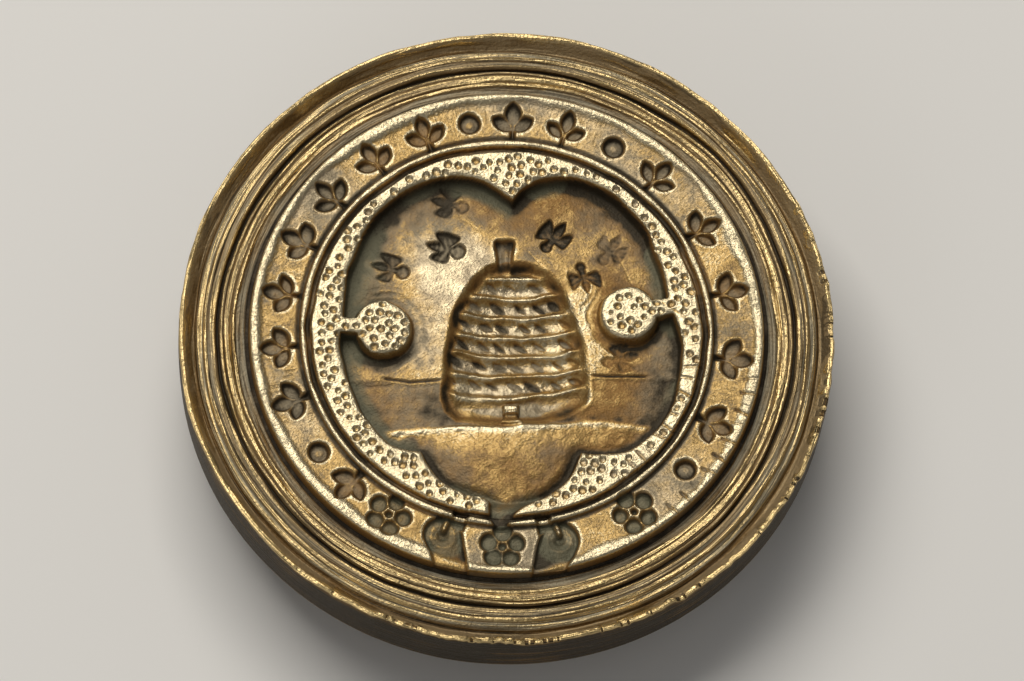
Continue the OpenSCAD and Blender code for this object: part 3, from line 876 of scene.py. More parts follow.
# The horizon beside the hive, with a second short line at its left, and the ground below.
horizon_depth = 0.12
second_depth = 0.07
below_drop = 0.06
horizon_left = np.interp(X, [-7.2, -6.3, -5.0, -3.4], [-2.38, -2.32, -2.52, -2.4])
horizon_right = np.interp(X, [4.3, 5.2, 7.4], [-2.08, -2.13, -2.08])
horizon_y = np.where(X < 0, horizon_left, horizon_right)
beside_hive = rise(hive_gap, 0.0, 0.2)
horizon_cut = sunk(np.abs(Y - horizon_y) - 0.05, horizon_depth, 0.14)
horizon_cut = horizon_cut * rise(X, -6.6, -6.2) * rise(7.5 - X, 0, 0.4)
second_line = sunk(np.abs(Y + 2.72 - 0.06 * (X + 6.4)) - 0.03, second_depth, 0.12)
horizon_cut += second_line * rise(-X, 5.7, 6.0) * rise(X, -7.4, -7.0)
below = rise(horizon_y - Y, 0.02, 0.3)
field += beside_hive * (horizon_cut - below_drop * below)

ground_lift = 0.45
ground_falls = 0.34
ground_round = 0.02
lip_lift = 0.03
tip_lift = 0.62
ground_y = np.interp(X, [-8, -6, -3, 0, 2, 4, 6, 8],
                     [-5.32, -5.22, -4.92, -4.99, -4.82, -4.55, -4.65, -4.92])
ground_y = ground_y + 0.03 * wobble
hook = np.hypot(X + 5.05, (Y + 5.87) * 1.2) - 0.42
ground_side = rise(-field_gap, 0.3, 0.85) * rise(hook, -0.1, 0.2)
ground = rise(ground_y - Y, -0.14, 0.14) * ground_side
ground_level = -field_depth + ground_lift - ground_falls * rise(-Y, 6.4, 10.2) - ground_round * X ** 2
field = mixed(field, np.maximum(field, ground_level), ground)
field += ground * (0.006 * fine + 0.014 * roughness_of(0.16))
field += lip_lift * hump(Y - ground_y, -0.16, 0.16) * ground_side
tip_floor = -field_depth + tip_lift * rise(-Y, 8.9, 9.9)
field = np.where(Y < -8.8, np.maximum(field, tip_floor), field)

# Bees: place of the waist, heading of the tail, depth, side of the broad wing, radius of the head.
bees = [(-2.77, 7.44, 75, 0.1, 1, 0.38), (-3.01, 4.92, 75, 0.24, 1, 0.4),
        (-5.89, 3.76, 74, 0.16, 1, 0.38), (2.46, 5.52, -36, 0.26, -1, 0.28),
        (5.38, 4.87, -34, 0.08, 1, 0.3), (4.04, 3.42, -165, 0.17, 1, 0.27),
        (5.8, -1.18, -75, 0.07, -1, 0.3)]
deepest_bee = 0.26
wing_half = 0.84
tail_length = 1.44
tail_w = 0.5
neck_r = 0.2
bee_marks = blank()
for bee_x, bee_y, heading, depth, broad_side, head_r in bees:
    lx, ly = turned_to(X - bee_x, Y - bee_y, heading)
    lx = lx * broad_side
    span = np.abs(lx)
    reach = np.where(lx > 0, 0.02 + 0.68 * span, 0.14 + 0.12 * span)
    wing_tips = span + 0.12 * (ly - 0.1) ** 2 - wing_half
    wing_edges = both((ly - 0.16 - 1.03 * span) * 0.7, (-reach - ly) * 0.83, 0.1)
    wings = both(wing_tips, wing_edges, 0.16)
    tail = leaf_distance(lx, ly + 0.25, tail_length, tail_w)
    head = np.minimum(np.hypot(lx * 0.95, ly + 0.57) - head_r,
                      line_distance(lx, ly, (0, -0.5), (0, 0.2)) - neck_r)
    tool_streaks = 1 + 0.2 * np.sin(ly * 22 - 9 * span + wobble)
    strength = min(1.0, 0.25 + depth / deepest_bee)
    bee_cut = blank()
    for lobe in (tail, head, wings):
        lobe = lobe + hand * 0.8
        # Each lobe is darker along its walls than on its floor, as painted shade, on a tone drawn at
        # random.
        lobe_tone = drawn(0.75, 0.3) * tool_streaks * (1 - 0.25 * rise(-lobe, 0.08, 0.24))
        bee_cut = np.maximum(bee_cut, rise(-lobe, -0.05, 0.13) * (0.8 + 0.2 * tool_streaks))
        bee_marks = np.maximum(bee_marks, rise(-lobe, -0.05, 0.07) * lobe_tone * strength)
    field -= bee_cut * depth

# The table, wire, groove and band.
band_out_r = 12.95
band_in_r = 10.7
band_mid_r = (band_out_r + band_in_r) / 2
band_w = band_out_r - band_in_r
band_drop = 0.15
wire_in_r = 10.45
wire_foot = 0.1
groove_depth = 0.35
groove_half = 0.2
eased_edge = 0.05
die = blank() + 0.006 * broad
edge_wave = 0.045 * wobble
edge_round = hump(field_gap, 0.04, 0.1)
die -= eased_edge * edge_round
groove_mid = (table_r + wire_in_r) / 2
groove_mark = rise(groove_half - np.abs(R - groove_mid + edge_wave * 0.6), 0, 0.1)
die -= groove_depth * groove_mark
inner_step = rise(R, band_in_r - 0.05, band_in_r + 0.09)
outer_rise = rise(R + 0.08 * broad + edge_wave, 12.6, 13.0)
band = inner_step * (1 - outer_rise)
die -= band * band_drop + wire_foot * hump(R, 10.82, 0.1) + 0.0025 * fine * inner_step
die -= 0.02 * rise(wobble, 0.6, 2.0) * inner_step

# The border's sunk ornament: runs of three-leaved sprigs, pellets, rosettes and two straps.
ornament_depth = 0.36
sprig_runs = [(2, 15.5, 2), (42, 115, 5), (224, 224, 1), (251, 339.5, 7)]
stem_half = 0.13
mid_leaf = (1.28, 0.74)
side_leaf = (1.22, 0.72)
side_leaf_turn = 58
pellet_turns = [28.5, 129, 235.6, 351]
pellet_r = 0.55
rosette_turns = [146.5, 181.5, 211.5]
petals = 5
petal_r = 0.42
petal_at = 0.76
rosette_eye_r = 0.17
straps = [(166.9, -1), (196.8, 1)]
strap_r = 1.0
strap_tail_half = 0.8
strap_lean = 30
tongue_half = 0.13
tongue_height = 0.3


def on_border(turn):
    """Coordinates of a border mark: along the border clockwise, and outwards from its middle."""
    a = math.radians(turn)
    return X * math.cos(a) - Y * math.sin(a), X * math.sin(a) + Y * math.cos(a) - band_mid_r


marks = blank(far_off)
mark_green = blank()
mark_lift = blank()
strap_share = blank()
for first, last, count in sprig_runs:
    for turn in np.linspace(first, last, count):
        ax, ay = on_border(turn)
        sprig = block_distance(ax, ay + 0.48, stem_half, 0.5)
        sprig = np.minimum(sprig, leaf_distance(ax, ay + 0.26, *mid_leaf))
        for way in (-1, 1):
            lx, ly = turned_to(ax, ay + 0.475, way * side_leaf_turn)
            sprig = np.minimum(sprig, leaf_distance(lx, ly, *side_leaf))
        marks = np.minimum(marks, sprig)
for turn in pellet_turns:
    ax, ay = on_border(turn)
    marks = np.minimum(marks, np.hypot(ax, ay) - pellet_r)
    mark_lift += 0.05 * rise(0.32 - np.hypot(ax, ay), 0, 0.2)
for turn in rosette_turns:
    ax, ay = on_border(turn)
    for petal in range(petals):
        lx, ly = turned_to(ax, ay, petal * 360 / petals + 36)
        marks = np.minimum(marks, np.hypot(lx * 0.92, ly - petal_at) - petal_r)
    marks = np.minimum(marks, np.hypot(ax, ay) - rosette_eye_r)
    mark_green = np.maximum(mark_green, rise(1.35 - np.hypot(ax, ay), 0, 0.3))
for turn, side_way in straps:
    ax, ay = on_border(turn)
    curl_y = ay + band_w / 2 - strap_r
    curl_gap = np.hypot(ax, curl_y)
    tx, ty = turned_to(ax, curl_y, side_way * strap_lean)
    tail_half = strap_r + (strap_tail_half - strap_r) * np.clip(ty / 2.5, 0, 1)
    tail = np.maximum(np.maximum(np.abs(tx) - tail_half, -ty), ty - 3.2)
    gate = block_distance(ax + 0.6 * side_way, ay + 1.1, 0.38, 0.5)
    marks = np.minimum(marks, np.minimum(np.minimum(curl_gap - strap_r, tail), gate))
    tongue = line_distance(ax, curl_y, (0.0, -0.75), (0.05 * side_way, -0.32)) - tongue_half
    on_tongue = rise(-tongue, -0.12, 0.1)
    mark_lift += tongue_height * on_tongue
    mark_lift += 0.1 * np.clip(1 - (tx / 0.95) ** 2, 0, 1) * rise(ty, 0.3, 0.9) * (tail < 0.3)
    strap_share = np.maximum(strap_share, rise(-tail, -0.05, 0.15))
    mark_lift -= 0.18 * rise(0.4 - np.hypot(ax, curl_y + 0.02), 0, 0.3) * (1 - on_tongue)
    mark_lift += 0.05 * hump(curl_gap, 0.62, 0.13)
    mark_green = np.maximum(mark_green, rise(1.5 - curl_gap, 0, 0.6))
marks = marks + hand * 0.9
mark_share = rise(-marks, -0.1, 0.16)
die += (mark_lift - ornament_depth - 0.03 * wobble) * mark_share

# Cuts across the table's edge and the fillet at the lower right, and long scratches, from rough use.
nick_turns = [101.5, 105, 109.5, 113, 117.5, 122, 126.5, 131, 134.5, 139, 143.5]
nick_depth = 0.09
long_scratches = [((6.9, 2.5), (10.0, 0.4)), ((5.82, 4.75), (6.54, 3.1)),
                  ((1.18, 4.8), (1.87, 4.05)), ((-2.3, 6.7), (-1.2, 5.9))]
scratch_half = 0.09
scratch_depth = 0.03
nicks = blank()
for turn in nick_turns:
    lean = math.radians(turn + 14 * math.sin(turn * 5.0))
    for start_r, length in ((9.35, 0.75 + 0.2 * math.sin(turn)), (12.55, 0.7)):
        ax = start_r * math.sin(math.radians(turn))
        ay = start_r * math.cos(math.radians(turn))
        nick_end = (ax + length * math.sin(lean), ay + length * math.cos(lean))
        stroke = rise(-line_distance(X, Y, (ax, ay), nick_end), -0.1, -0.02)
        nicks = np.maximum(nicks, stroke * (0.6 + 0.4 * math.sin(turn * 3.0)))
scores = blank()
for scratch_from, scratch_to in long_scratches:
    stroke = line_distance(X, Y, scratch_from, scratch_to)
    scores = np.maximum(scores, rise(scratch_half - stroke, 0, 0.07))
heights = mixed(die, field, in_field) - scratch_depth * scores
heights = heights - nick_depth * nicks * (1 - in_field)
heights -= 0.05 * rise(wobble, 1.2, 2.6) * rise(R, die_r - 0.45, die_r - 0.1)


def patch(x, y, wide, tall):
    """A soft round patch of the face, 1 in its middle."""
    return np.exp(-((X - x) ** 2 / wide + (Y - y) ** 2 / tall))


# What the finish needs to know of every cell, each from 0 to 1. First the tone of the field,
# with its light and dark patches, painted sheen left of the hive and painted shadow under the
# cartouche's upper walls.
# Slope, dips and crests of the relief, for painted shade on walls and in dips and painted highlight on
# crests.
steep = np.hypot(*np.gradient(heights, cell))
dip_patina_and_shade = rise(blurred(heights, 0.3) - heights, 0.0, 0.2)
crest_wear_and_glint = rise(heights - blurred(heights, 0.14), 0.006, 0.04)
# Painted sheen: the field is lighter above and left of the hive, and less warm there.
lit_patch = patch(-2.5, 3.8, 5, 6)
field_tone = 0.465 + 0.25 * lit_patch
field_tone -= 0.15 * rise(Y, 5.6, 7.0) * rise(-X, -0.5, 1.0)
# More painted sheen along the hive's left side.
field_tone += 0.1 * patch(-3.9, 0.2, 3, 9)
field_tone -= 0.3 * rise(-X, 5.2, 6.8) * rise(Y, -2.6, -1.0)
field_tone += 0.14 * patch(4.4, 5.6, 7, 5) + 0.08 * tool_rings
# Painted highlight on the field's edge along both sides of the hive.
field_tone += 0.18 * hump(hive_gap, 0.4, 0.5) * rise(hy, 1.5, 3.0) * rise(-Y, -3.6, -1.5)
field_tone *= rise(-cartouche, 0.2, 1.5) * 0.25 + 0.75
# Painted shadow on the field at the foot of the cartouche's upper walls, but not by the roundels.
gap_climb = np.gradient(field_gap, cell, axis=0)
painted_wall_shadow = hump(field_gap, -0.28, 0.32) * rise(gap_climb, -0.1, 0.7)
roundel_wall = hump(roundel_gap, 0.12, 0.16)
field_tone += 0.14 * roundel_wall - 0.42 * painted_wall_shadow * (1 - roundel_wall)
field_tone -= 0.19 * below * (1 - ground)
# Tone of the hive, with painted shade on the flanks of its coil ridges.
painted_ridge_shade = np.maximum(rise(row_part, 0.62, 0.86), rise(0.3 - row_part, 0, 0.2)) * (1 - ridge)
hive_tone = 0.73 + 0.06 * ridge - 0.5 * binding - 0.09 * painted_ridge_shade - 0.45 * eye_marks
hive_side = rise(-hive_gap, -0.14, 0.06) * (1 - rise(-hive_gap / wall_w, 0.8, 1.6))
hive_tone = hive_tone - 0.2 * rise(-coil, -1.0, -0.8) + 0.4 * door_mark
grit = roughness_of(0.14)
field_tone = mixed(field_tone + 0.05 * grit, hive_tone, in_hive)
field_tone = mixed(field_tone, 0.37 + 0.1 * wobble, hive_side)
# Tone of the ground and of the small cuts.
ground_tone = 0.68 - 0.31 * rise(-Y, 5.4, 6.8) - 0.12 * rise(-Y, 8.4, 9.6)
ground_tone = ground_tone - 0.15 * rise(np.abs(X), 3.0, 5.0)
ground_tone += 0.35 * hump(Y - ground_y, -0.16, 0.2)
field_tone = mixed(field_tone, ground_tone, ground)
field_tone -= 0.42 * bee_marks + 0.3 * rise(-finial, -0.05, 0.2) * (1 - in_hive)
field_tone -= 0.5 * rise(-horizon_cut, 0.03, 0.1) * beside_hive
field_tone += 0.13 * hump(finial, 0.14, 0.14) * rise(hive_gap, 0.0, 0.3)
# Tone of the table and the border, and of the whole face: crests lighter, as wear and painted
# highlight, dips darker, as patina and painted shade, and steep walls darker, as painted shade.
die_tone = 0.98 - 0.35 * band - 0.1 * inner_step * (1 - band) + 0.15 * outer_rise
die_tone -= 0.07 * band * rise(broad + 0.5 * wobble, 0.0, 1.6) + 0.12 * band * hump(marks, 0, 0.35)
# The groove is darker, as patina and painted shade, and a dark ring outside the wire is painted shadow.
die_tone -= (0.15 * mark_share + 0.26 * strap_share + 0.7 * groove_mark
             + 0.45 * hump(R, 10.84, 0.14))
tone = mixed(die_tone, field_tone, in_field)
tone = tone + crest_wear_and_glint * (0.34 - 0.24 * in_field) - 0.2 * dip_patina_and_shade - 0.25 * rise(steep, 0.6, 2.0)
# The cartouche's walls are painted in shade, except by the roundels.
painted_wall_shade = rise(-field_gap, -0.02, 0.06) * (1 - rise(-field_gap, 0.2, 0.44))
painted_wall_shade = painted_wall_shade * rise(roundel_gap, 0.3, 0.6)
tone = tone * (1 - 0.75 * painted_wall_shade) + 0.05 * painted_wall_shade
tone = mixed(tone, 0.95, door_mark)
tone = tone - 0.3 * nicks - 0.22 * edge_round + 0.06 * wobble + 0.05 * broad
tone = np.clip(tone + scores * (0.16 * in_field - 0.3 * (1 - in_field)), 0, 1)

# Then how warm the brass is, and how green.
hive_warm = in_hive * (0.6 * painted_ridge_shade - 0.35 + 0.9 * ridge) + 1.1 * hive_side
field_warm = 0.5 * np.exp(-(X - 5) ** 2 / 8) + 0.3 * rise(Y, 4, 7) - 0.7 * lit_patch
warm = in_field * hive_warm + 0.4 + 0.15 * broad + 0.25 * ground
warm = warm + in_field * field_warm * (1 - in_hive) + 0.5 * rise(steep, 0.6, 1.6) + 0.4 * edge_round
warm = warm - 0.5 * in_hive * binding + 0.5 * strap_share + 0.5 * in_field * roundel_wall
warm = np.clip(warm, 0, 1)
green = in_field * rise(cartouche, -1.3, -0.5) * rise(broad + 0.5 * wobble, -1.6, 0.2)
green += 0.6 * in_field * rise(-X, 5.4, 6.6) * rise(Y, -2.6, -1.0)
green += in_field * ground * rise(-Y, 8.8, 10.0) * 0.9 + mark_green * 0.8 * mark_share
green = np.clip(green + 0.35 * mark_share + 0.5 * in_hive * rise(-coil, -0.95, -0.8), 0, 1)


def at(sheet, x, y):
    """Values of a raster at points, in millimetres."""
    u = np.clip((np.asarray(x) + raster_half) / cell - 0.5, 0, cells - 1.001)
    v = np.clip((np.asarray(y) + raster_half) / cell - 0.5, 0, cells - 1.001)
    i = u.astype(int)
    j = v.astype(int)
    fu = u - i
    fv = v - j
    low = sheet[j, i] * (1 - fu) + sheet[j, i + 1] * fu
    high = sheet[j + 1, i] * (1 - fu) + sheet[j + 1, i + 1] * fu
    return low * (1 - fv) + high * fv


def quads(*corners):
    """Faces from four arrays of point numbers, one for each corner."""
    return np.stack(corners, -1).reshape(-1, 4).tolist()


def relief_mesh(name, points, faces, facts):
    """A smooth closed mesh in metres, with facts of every point as attributes."""
    mesh = bpy.data.meshes.new(name)
    mesh.from_pydata((np.asarray(points) * MM).tolist(), [], faces)
    point_facts(mesh, facts)
    mesh.shade_smooth()
    return mesh


hidden_tone = 0.3
hidden_warm = 0.3


def die_facts(x, y, shown):
    """Facts of die points; points that are not on the face count as dull."""
    return {"tone": np.where(shown, at(tone, x, y), hidden_tone),
            "warm": np.where(shown, at(warm, x, y), hidden_warm),
            "green": np.where(shown, at(green, x, y), 0.0)}


die_bright = (0.60, 0.51, 0.33, 1.0)
die_gold = (0.43, 0.285, 0.108, 1.0)
die_pewter = (0.40, 0.325, 0.215, 1.0)
die_brown = (0.25, 0.135, 0.04, 1.0)
die_grey = (0.26, 0.213, 0.138, 1.0)
die_dark = (0.04, 0.03, 0.016, 1.0)
die_green = (0.15, 0.145, 0.09, 1.0)


def slanted(place, angle):
    """A vector flow turned about the Z axis."""
    return place.node("ShaderNodeVectorRotate", {"rotation_type": "Z_AXIS"},
                      {"Vector": place, "Angle": angle})


def hairline(noise):
    """Fine scratches along a noise."""
    return crossing(noise, 0.03, 0.008)


def engraved_brass(name, turned):
    """Bright on top, as wear and painted highlight, grey-brown and green in the hollows, as patina and
    painted shade, finely scratched.
    """
    material, flow = new_material(name)
    place = in_millimetres(flow)
    speck = grain(place, 8.0, 4.0)
    mottle = grain(place, 1.6, 5.0)
    if turned:
        lines = grain(stretched(outwards(place), 260, 260, 0), 1.0, 2.0)
        lines_b = grain(stretched(place, 3.0, 3.0, 3.0), 3.0, 3.0)
    else:
        lines = grain(stretched(slanted(place, -0.7), 0.9, 8.0, 1.0), 0.9, 1.0)
        lines_b = grain(stretched(slanted(place, 0.9), 0.8, 9.0, 1.0), 0.9, 1.0)
    scratch = hairline(lines) * fade(mottle, 0.5, 0.62) + hairline(lines_b) * fade(mottle, 0.5, 0.38)
    level = stirred(attribute(flow, "tone"), (mottle, 0.45), (speck, 0.55)) - scratch * 0.09
    shade = stirred(attribute(flow, "tone"), (mottle, 0.3), (speck, 0.2))
    warmth = stirred(attribute(flow, "warm"), (mottle, 0.5))
    moss = stirred(attribute(flow, "green"), (speck, 0.5))
    middle = tint(fade(warmth, 0.2, 0.9), die_grey, die_brown)
    gold = tint(fade(warmth, 0.05, 0.45), die_pewter, die_gold)
    colour = tint(fade(shade, 0.0, 0.34), die_dark, middle)
    colour = tint(fade(moss, 0.35, 0.9) * 0.6, colour, die_green)
    colour = tint(fade(level, 0.3, 0.66), colour, gold)
    colour = tint(fade(level, 0.6, 0.98), colour, die_bright)
    metal_surface(flow, colour,
                  roughness=stirred(0.6 - fade(level, 0.25, 0.95) * 0.26, (speck, 0.16)),
                  metallic=0.6 + fade(level, 0.15, 0.7) * 0.4,
                  bumps=speck * 0.9 + lines * 0.15 - scratch * 0.12, bump_depth=0.05)
    return material


# The border ring, in closed rows: the face, then the edge, the side, the back and the inner wall.
# Each row has its radius, height from the face, 1 if it is seen, painted light, which darkens
# the edge and side as shade, and share of relief.
border_in_r = 10.28
border_step = 0.056
border_segments = 1440
back_drop = die_back_z - face_z
border_rows = [(r, 0.0, 1, 1.0, 1.0) for r in np.arange(border_in_r, die_r - 0.18, border_step)]
border_rows += [
    (die_r - 0.14, -0.02, 1, 1.0, 1.0), (die_r - 0.1, -0.055, 1, 0.9, 1.0),
    (die_r - 0.075, -0.11, 1, 0.7, 0.9), (die_r - 0.06, -0.2, 1, 0.5, 0.6),
    (die_r - 0.045, -0.35, 1, 0.35, 0.3), (die_r - 0.03, -0.5, 1, 0.3, 0.1),
    (die_r - 0.015, -0.65, 1, 0.25, 0.0), (die_r, -0.8, 1, 0.2, 0.0), (die_r, -1.6, 1, 0.2, 0.0),
    (die_r, back_drop, 0, 0.2, 0.0), (border_in_r, back_drop, 0, 0.2, 0.0),
    (border_in_r, -1.4, 0, 0.2, 0.0)]
row_r, row_z, row_shown, row_painted_light, row_follow = np.array(border_rows).T
spin = np.arange(border_segments) * math.tau / border_segments
look_r = np.minimum(row_r, die_r - 0.05)
look_x = np.outer(look_r, np.sin(spin))
look_y = np.outer(look_r, np.cos(spin))
ring_z = face_z + row_z[:, None] + at(heights, look_x, look_y) * row_follow[:, None]
border_points = np.stack([np.outer(row_r, np.sin(spin)), np.outer(row_r, np.cos(spin)), ring_z], -1)
ids = np.arange(len(row_r) * border_segments).reshape(len(row_r), border_segments)
next_row = np.roll(ids, -1, axis=0)
faces = quads(ids, np.roll(ids, -1, axis=1), np.roll(next_row, -1, axis=1), next_row)
# The die's edge and side are painted darker and browner, as shade.
bright = np.repeat(row_painted_light, border_segments)
facts = die_facts(look_x.ravel(), look_y.ravel(), np.repeat(row_shown, border_segments) > 0)
facts["tone"] = facts["tone"] * bright
facts["warm"] = facts["warm"] + 0.6 * (1 - bright)
border_mesh = relief_mesh("die_border", border_points.reshape(-1, 3), faces, facts)
border_mesh.materials.append(engraved_brass("scored_brass", True))
die_border = new_object("die_border", border_mesh)
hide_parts("seal_die")
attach(die_border, "seal")

# The table: a square net bent into a disc, with a side and a back, and punched with dots.
disc_count = 308
across = disc_count + 1
square = np.linspace(-1, 1, across)
SX, SY = np.meshgrid(square, square)
net_r = border_in_r * np.maximum(np.abs(SX), np.abs(SY))
wide = np.abs(SX) >= np.abs(SY)
bend = np.where(wide, SY / np.where(SX == 0, 1, SX), SX / np.where(SY == 0, 1, SY))
ray_a = np.cos(bend * math.pi / 4)
ray_b = np.sin(bend * math.pi / 4)
flat_x = (net_r * np.where(wide, np.sign(SX) * ray_a, np.sign(SY) * ray_b)).ravel()
flat_y = (net_r * np.where(wide, np.sign(SX) * ray_b, np.sign(SY) * ray_a)).ravel()
ids = np.arange(across * across).reshape(across, across)
rim_ids = np.concatenate([ids[0, :-1], ids[:-1, -1], ids[-1, :0:-1], ids[:0:-1, 0]])
low_ids = np.arange(len(rim_ids)) + across * across
faces = quads(ids[:-1, :-1], ids[:-1, 1:], ids[1:, 1:], ids[1:, :-1])
faces += quads(np.roll(rim_ids, -1), rim_ids, low_ids, np.roll(low_ids, -1))
faces.append(low_ids[::-1].tolist())
top_points = np.stack([flat_x, flat_y, face_z + at(heights, flat_x, flat_y)], -1)
rim_points = top_points[rim_ids] * [1, 1, 0] + [0, 0, die_back_z]
disc_points = np.concatenate([top_points, rim_points])
shown = np.arange(len(disc_points)) < across * across
facts = die_facts(disc_points[:, 0], disc_points[:, 1], shown)
room = blurred((in_field < 0.02) * (R < table_r - 0.08) * (nicks < 0.3) * 1.0, 0.08)
facts["room"] = np.where(shown, at(room, disc_points[:, 0], disc_points[:, 1]), 0.0)
table_mesh = relief_mesh("die_table", disc_points, faces, facts)
dot_spacing = 0.45 * MM
dot_radius = 0.17 * MM
dot_depth = 0.15 * MM
dot_burr = 0.025 * MM
dot_seed = 5
most_dots = 3e7
room_needed = 0.93
skew_scale = 5200.0
skew_reach = 0.11 * MM
size_scale = 1400.0


def punching_tree():
    """Punches flat-bottomed dots into the table where there is room for them."""
    tree, start, (table, spacing, dot_r, depth, burr, seed, finish) = new_tree("punching", [
        ("Table", "Geometry"), ("Spacing", "Float"), ("Dot Radius", "Float"), ("Depth", "Float"),
        ("Burr", "Float"), ("Seed", "Int"), ("Finish", "Material")])
    room = stored(start, "room")
    free = start.node("FunctionNodeCompare", {"data_type": "FLOAT", "operation": "GREATER_THAN"},
                      {0: room, 1: room_needed})
    dots = start.node("GeometryNodeDistributePointsOnFaces", {"distribute_method": "POISSON"},
                      {"Mesh": table, "Selection": free, "Distance Min": spacing,
                       "Density Max": most_dots, "Seed": seed})
    place = start.node("GeometryNodeInputPosition")
    skew = start.node("ShaderNodeTexNoise", None,
                      {"Vector": place, "Scale": skew_scale, "Detail": 1.0}, "Color")
    skew = vectors("SUBTRACT", skew, (0.5, 0.5, 0.5))
    skew = start.node("ShaderNodeVectorMath", {"operation": "SCALE"}, {0: skew, "Scale": skew_reach})
    place = vectors("ADD", place, skew)
    gap = start.node("GeometryNodeProximity", {"target_element": "POINTS"}, {0: dots, 2: place},
                     "Distance")
    share = gap / (dot_r * (0.55 + grain(place, size_scale, 0.0) * 0.9))
    hole = fade(share, 1.2, 0.72)
    wall = hole * (1 - hole) * 4.0
    collar = fade(start.maths("ABSOLUTE", share - 1.32), 0.35, 0.0)
    lift = start.node("ShaderNodeCombineXYZ", None, {2: collar * burr - hole * depth})
    shape = start.node("GeometryNodeSetPosition", None,
                       {"Geometry": table, "Selection": room, "Offset": lift})
    # Each dot's floor and wall are painted darker, as shade in the hole, and its burr lighter.
    shape = store(shape, "tone", stored(start, "tone") - hole * 0.27 - wall * 0.2 + collar * 0.1)
    end_tree(shape, finish)
    return tree


die_table = grown("die_table", table_mesh, punching_tree(),
                  {"Spacing": dot_spacing, "Dot Radius": dot_radius, "Depth": dot_depth,
                   "Burr": dot_burr, "Seed": dot_seed,
                   "Finish": engraved_brass("engraved_brass", False)})
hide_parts("seal_die")
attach(die_table, "seal")


# Hinge lugs: two filed brass ears on the back of the cup, each with a tenon that is peened
# over inside. Their edges are eased and rubbed, and they are darker where they meet the cup.
merge_reach = 1e-7
wear_passes = 4


def eased_copy(name, node, voxel, passes):
    """A copy of a CAD node with its edges eased as by casting, filing and handling."""
    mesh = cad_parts[node].data.copy()
    piece = new_object(name, mesh)
    work = bmesh.new()
    work.from_mesh(mesh)
    bmesh.ops.remove_doubles(work, verts=work.verts, dist=merge_reach)
    work.to_mesh(mesh)
    work.free()
    skin = piece.modifiers.new("skin", "REMESH")
    skin.mode = "VOXEL"
    skin.voxel_size = voxel
    rub = piece.modifiers.new("rub", "SMOOTH")
    rub.factor = 0.5
    rub.iterations = passes
    keep_result(piece)
    piece.data.shade_smooth()
    piece.data.materials.clear()
    return piece


def values_of(items, key, width, kind):
    """A property of all the points or edges of a mesh, one row for each."""
    values = np.empty(len(items) * width, kind)
    items.foreach_get(key, values)
    return values.reshape(-1, width)


def mark_wear(piece):
    """Stores how much each point stands out or lies back, from the bend of the surface."""
    mesh = piece.data
    count = len(mesh.vertices)
    spots = values_of(mesh.vertices, "co", 3, float)
    facing = values_of(mesh.vertices, "normal", 3, float)
    one, other = values_of(mesh.edges, "vertices", 2, int).T
    reach = spots[other] - spots[one]
    length = np.linalg.norm(reach, axis=1) + 1e-12
    bend = np.zeros(count)
    np.add.at(bend, one, -(facing[one] * reach).sum(1) / length)
    np.add.at(bend, other, (facing[other] * reach).sum(1) / length)
    edges_met = np.maximum(np.bincount(np.concatenate([one, other]), minlength=count), 1)
    bend = bend / edges_met
    for again in range(wear_passes):
        total = np.zeros(count)
        np.add.at(total, one, bend[other])
        np.add.at(total, other, bend[one])
        bend = 0.5 * bend + 0.5 * total / edges_met
    point_facts(mesh, {"wear_and_shade": rise(bend, 0.01, 0.1), "grime_and_shade": rise(-bend, 0.01, 0.08)})


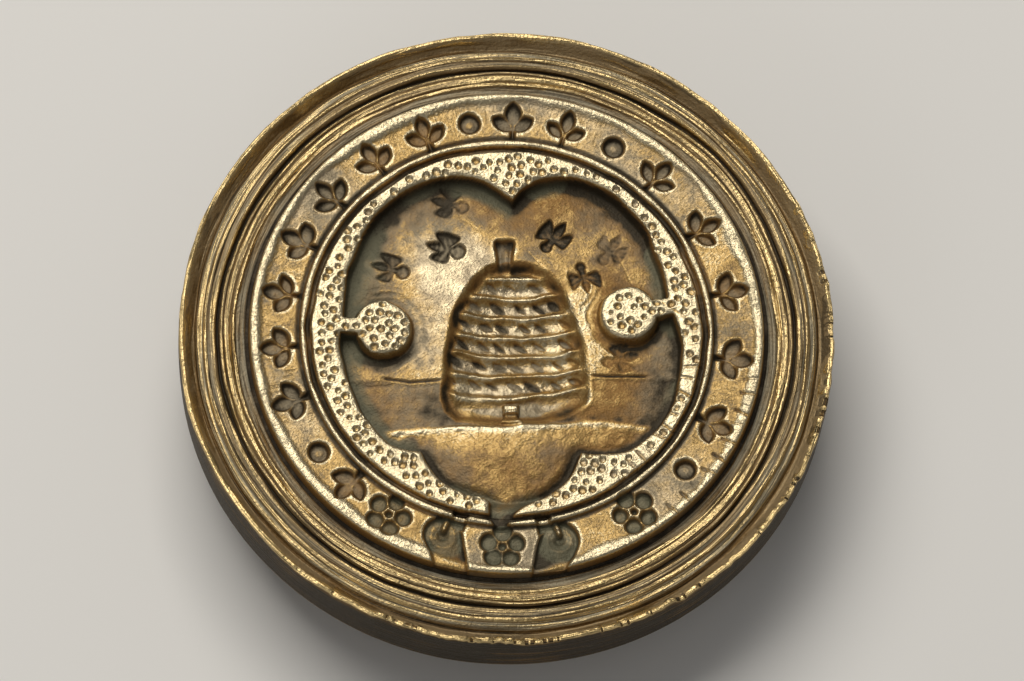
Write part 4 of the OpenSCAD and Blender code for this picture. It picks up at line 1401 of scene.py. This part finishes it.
def handled_brass(name, bright, body, dark, polish):
    """Aged brass: dark in the corners, tan on the flats, rubbed bright along the edges."""
    material, flow = new_material(name)
    place = in_millimetres(flow)
    cloud = grain(place, 0.5, 5.0)
    mottle = grain(place, 2.3, 4.0)
    speck = grain(place, 9.0, 3.0)
    file_marks = grain(stretched(place, 14.0, 1.0, 1.4), 1.0, 2.0)
    lines = grain(stretched(slanted(place, 0.6), 0.8, 7.0, 1.5), 0.8, 1.0)
    scratch = hairline(lines) * fade(mottle, 0.48, 0.6)
    rub = stirred(attribute(flow, "wear_and_shade"), (cloud, 1.7), (file_marks, 1.3)) + polish
    darkening = stirred(attribute(flow, "grime_and_shade"), (mottle, 2.6), (cloud, 1.4), (speck, 0.6))
    colour = tint(fade(darkening, 0.0, 0.8), body, dark)
    colour = tint(fade(rub, 0.3, 0.95), colour, bright)
    colour = tint(scratch * 0.6, colour, bright)
    metal_surface(flow, colour,
                  roughness=stirred(0.55 - fade(rub, 0.2, 1.0) * 0.22, (speck, 0.2)),
                  metallic=0.75 + fade(rub, 0.2, 0.8) * 0.25,
                  bumps=file_marks * 0.6 + mottle * 0.9 + speck * 0.4 - scratch * 0.3, bump_depth=0.08)
    return material


lug_voxel = 0.07 * MM
lug_passes = 5
hinge_finish = handled_brass("filed_brass", bright=(0.66, 0.51, 0.26, 1.0),
                             body=(0.34, 0.255, 0.135, 1.0), dark=(0.06, 0.05, 0.033, 1.0), polish=-0.1)
for hand_side in ("left", "right"):
    lug = eased_copy("lug_" + hand_side, "hinge_lug_" + hand_side, lug_voxel, lug_passes)
    mark_wear(lug)
    lug.data.materials.append(hinge_finish)
    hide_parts("hinge_lug_" + hand_side)
    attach(lug, "seal")


# Hinge pin: drawn brass wire riveted through both lugs, with hammered domed heads.
# Only the heads show.
pin_voxel = 0.05 * MM
pin_passes = 4
pin_finish = handled_brass("riveted_brass", bright=(0.72, 0.56, 0.29, 1.0),
                           body=(0.40, 0.30, 0.15, 1.0), dark=(0.05, 0.042, 0.03, 1.0), polish=0.1)
pin = eased_copy("pin_riveted", "hinge_pin", pin_voxel, pin_passes)
mark_wear(pin)
pin.data.materials.append(pin_finish)
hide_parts("hinge_pin")
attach(pin, "seal")


# Folding handle: a cast and filed brass trefoil with a cord eye and a knuckle that turns on
# the pin. Fingers have rubbed its edges bright.
handle_voxel = 0.085 * MM
handle_passes = 9
handle_finish = handled_brass("rubbed_brass", bright=(0.76, 0.60, 0.32, 1.0),
                              body=(0.44, 0.33, 0.165, 1.0), dark=(0.07, 0.056, 0.036, 1.0), polish=0.12)
handle = eased_copy("handle_cast", "folding_handle", handle_voxel, handle_passes)
mark_wear(handle)
handle.data.materials.append(handle_finish)
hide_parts("folding_handle")
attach(handle, "handle")
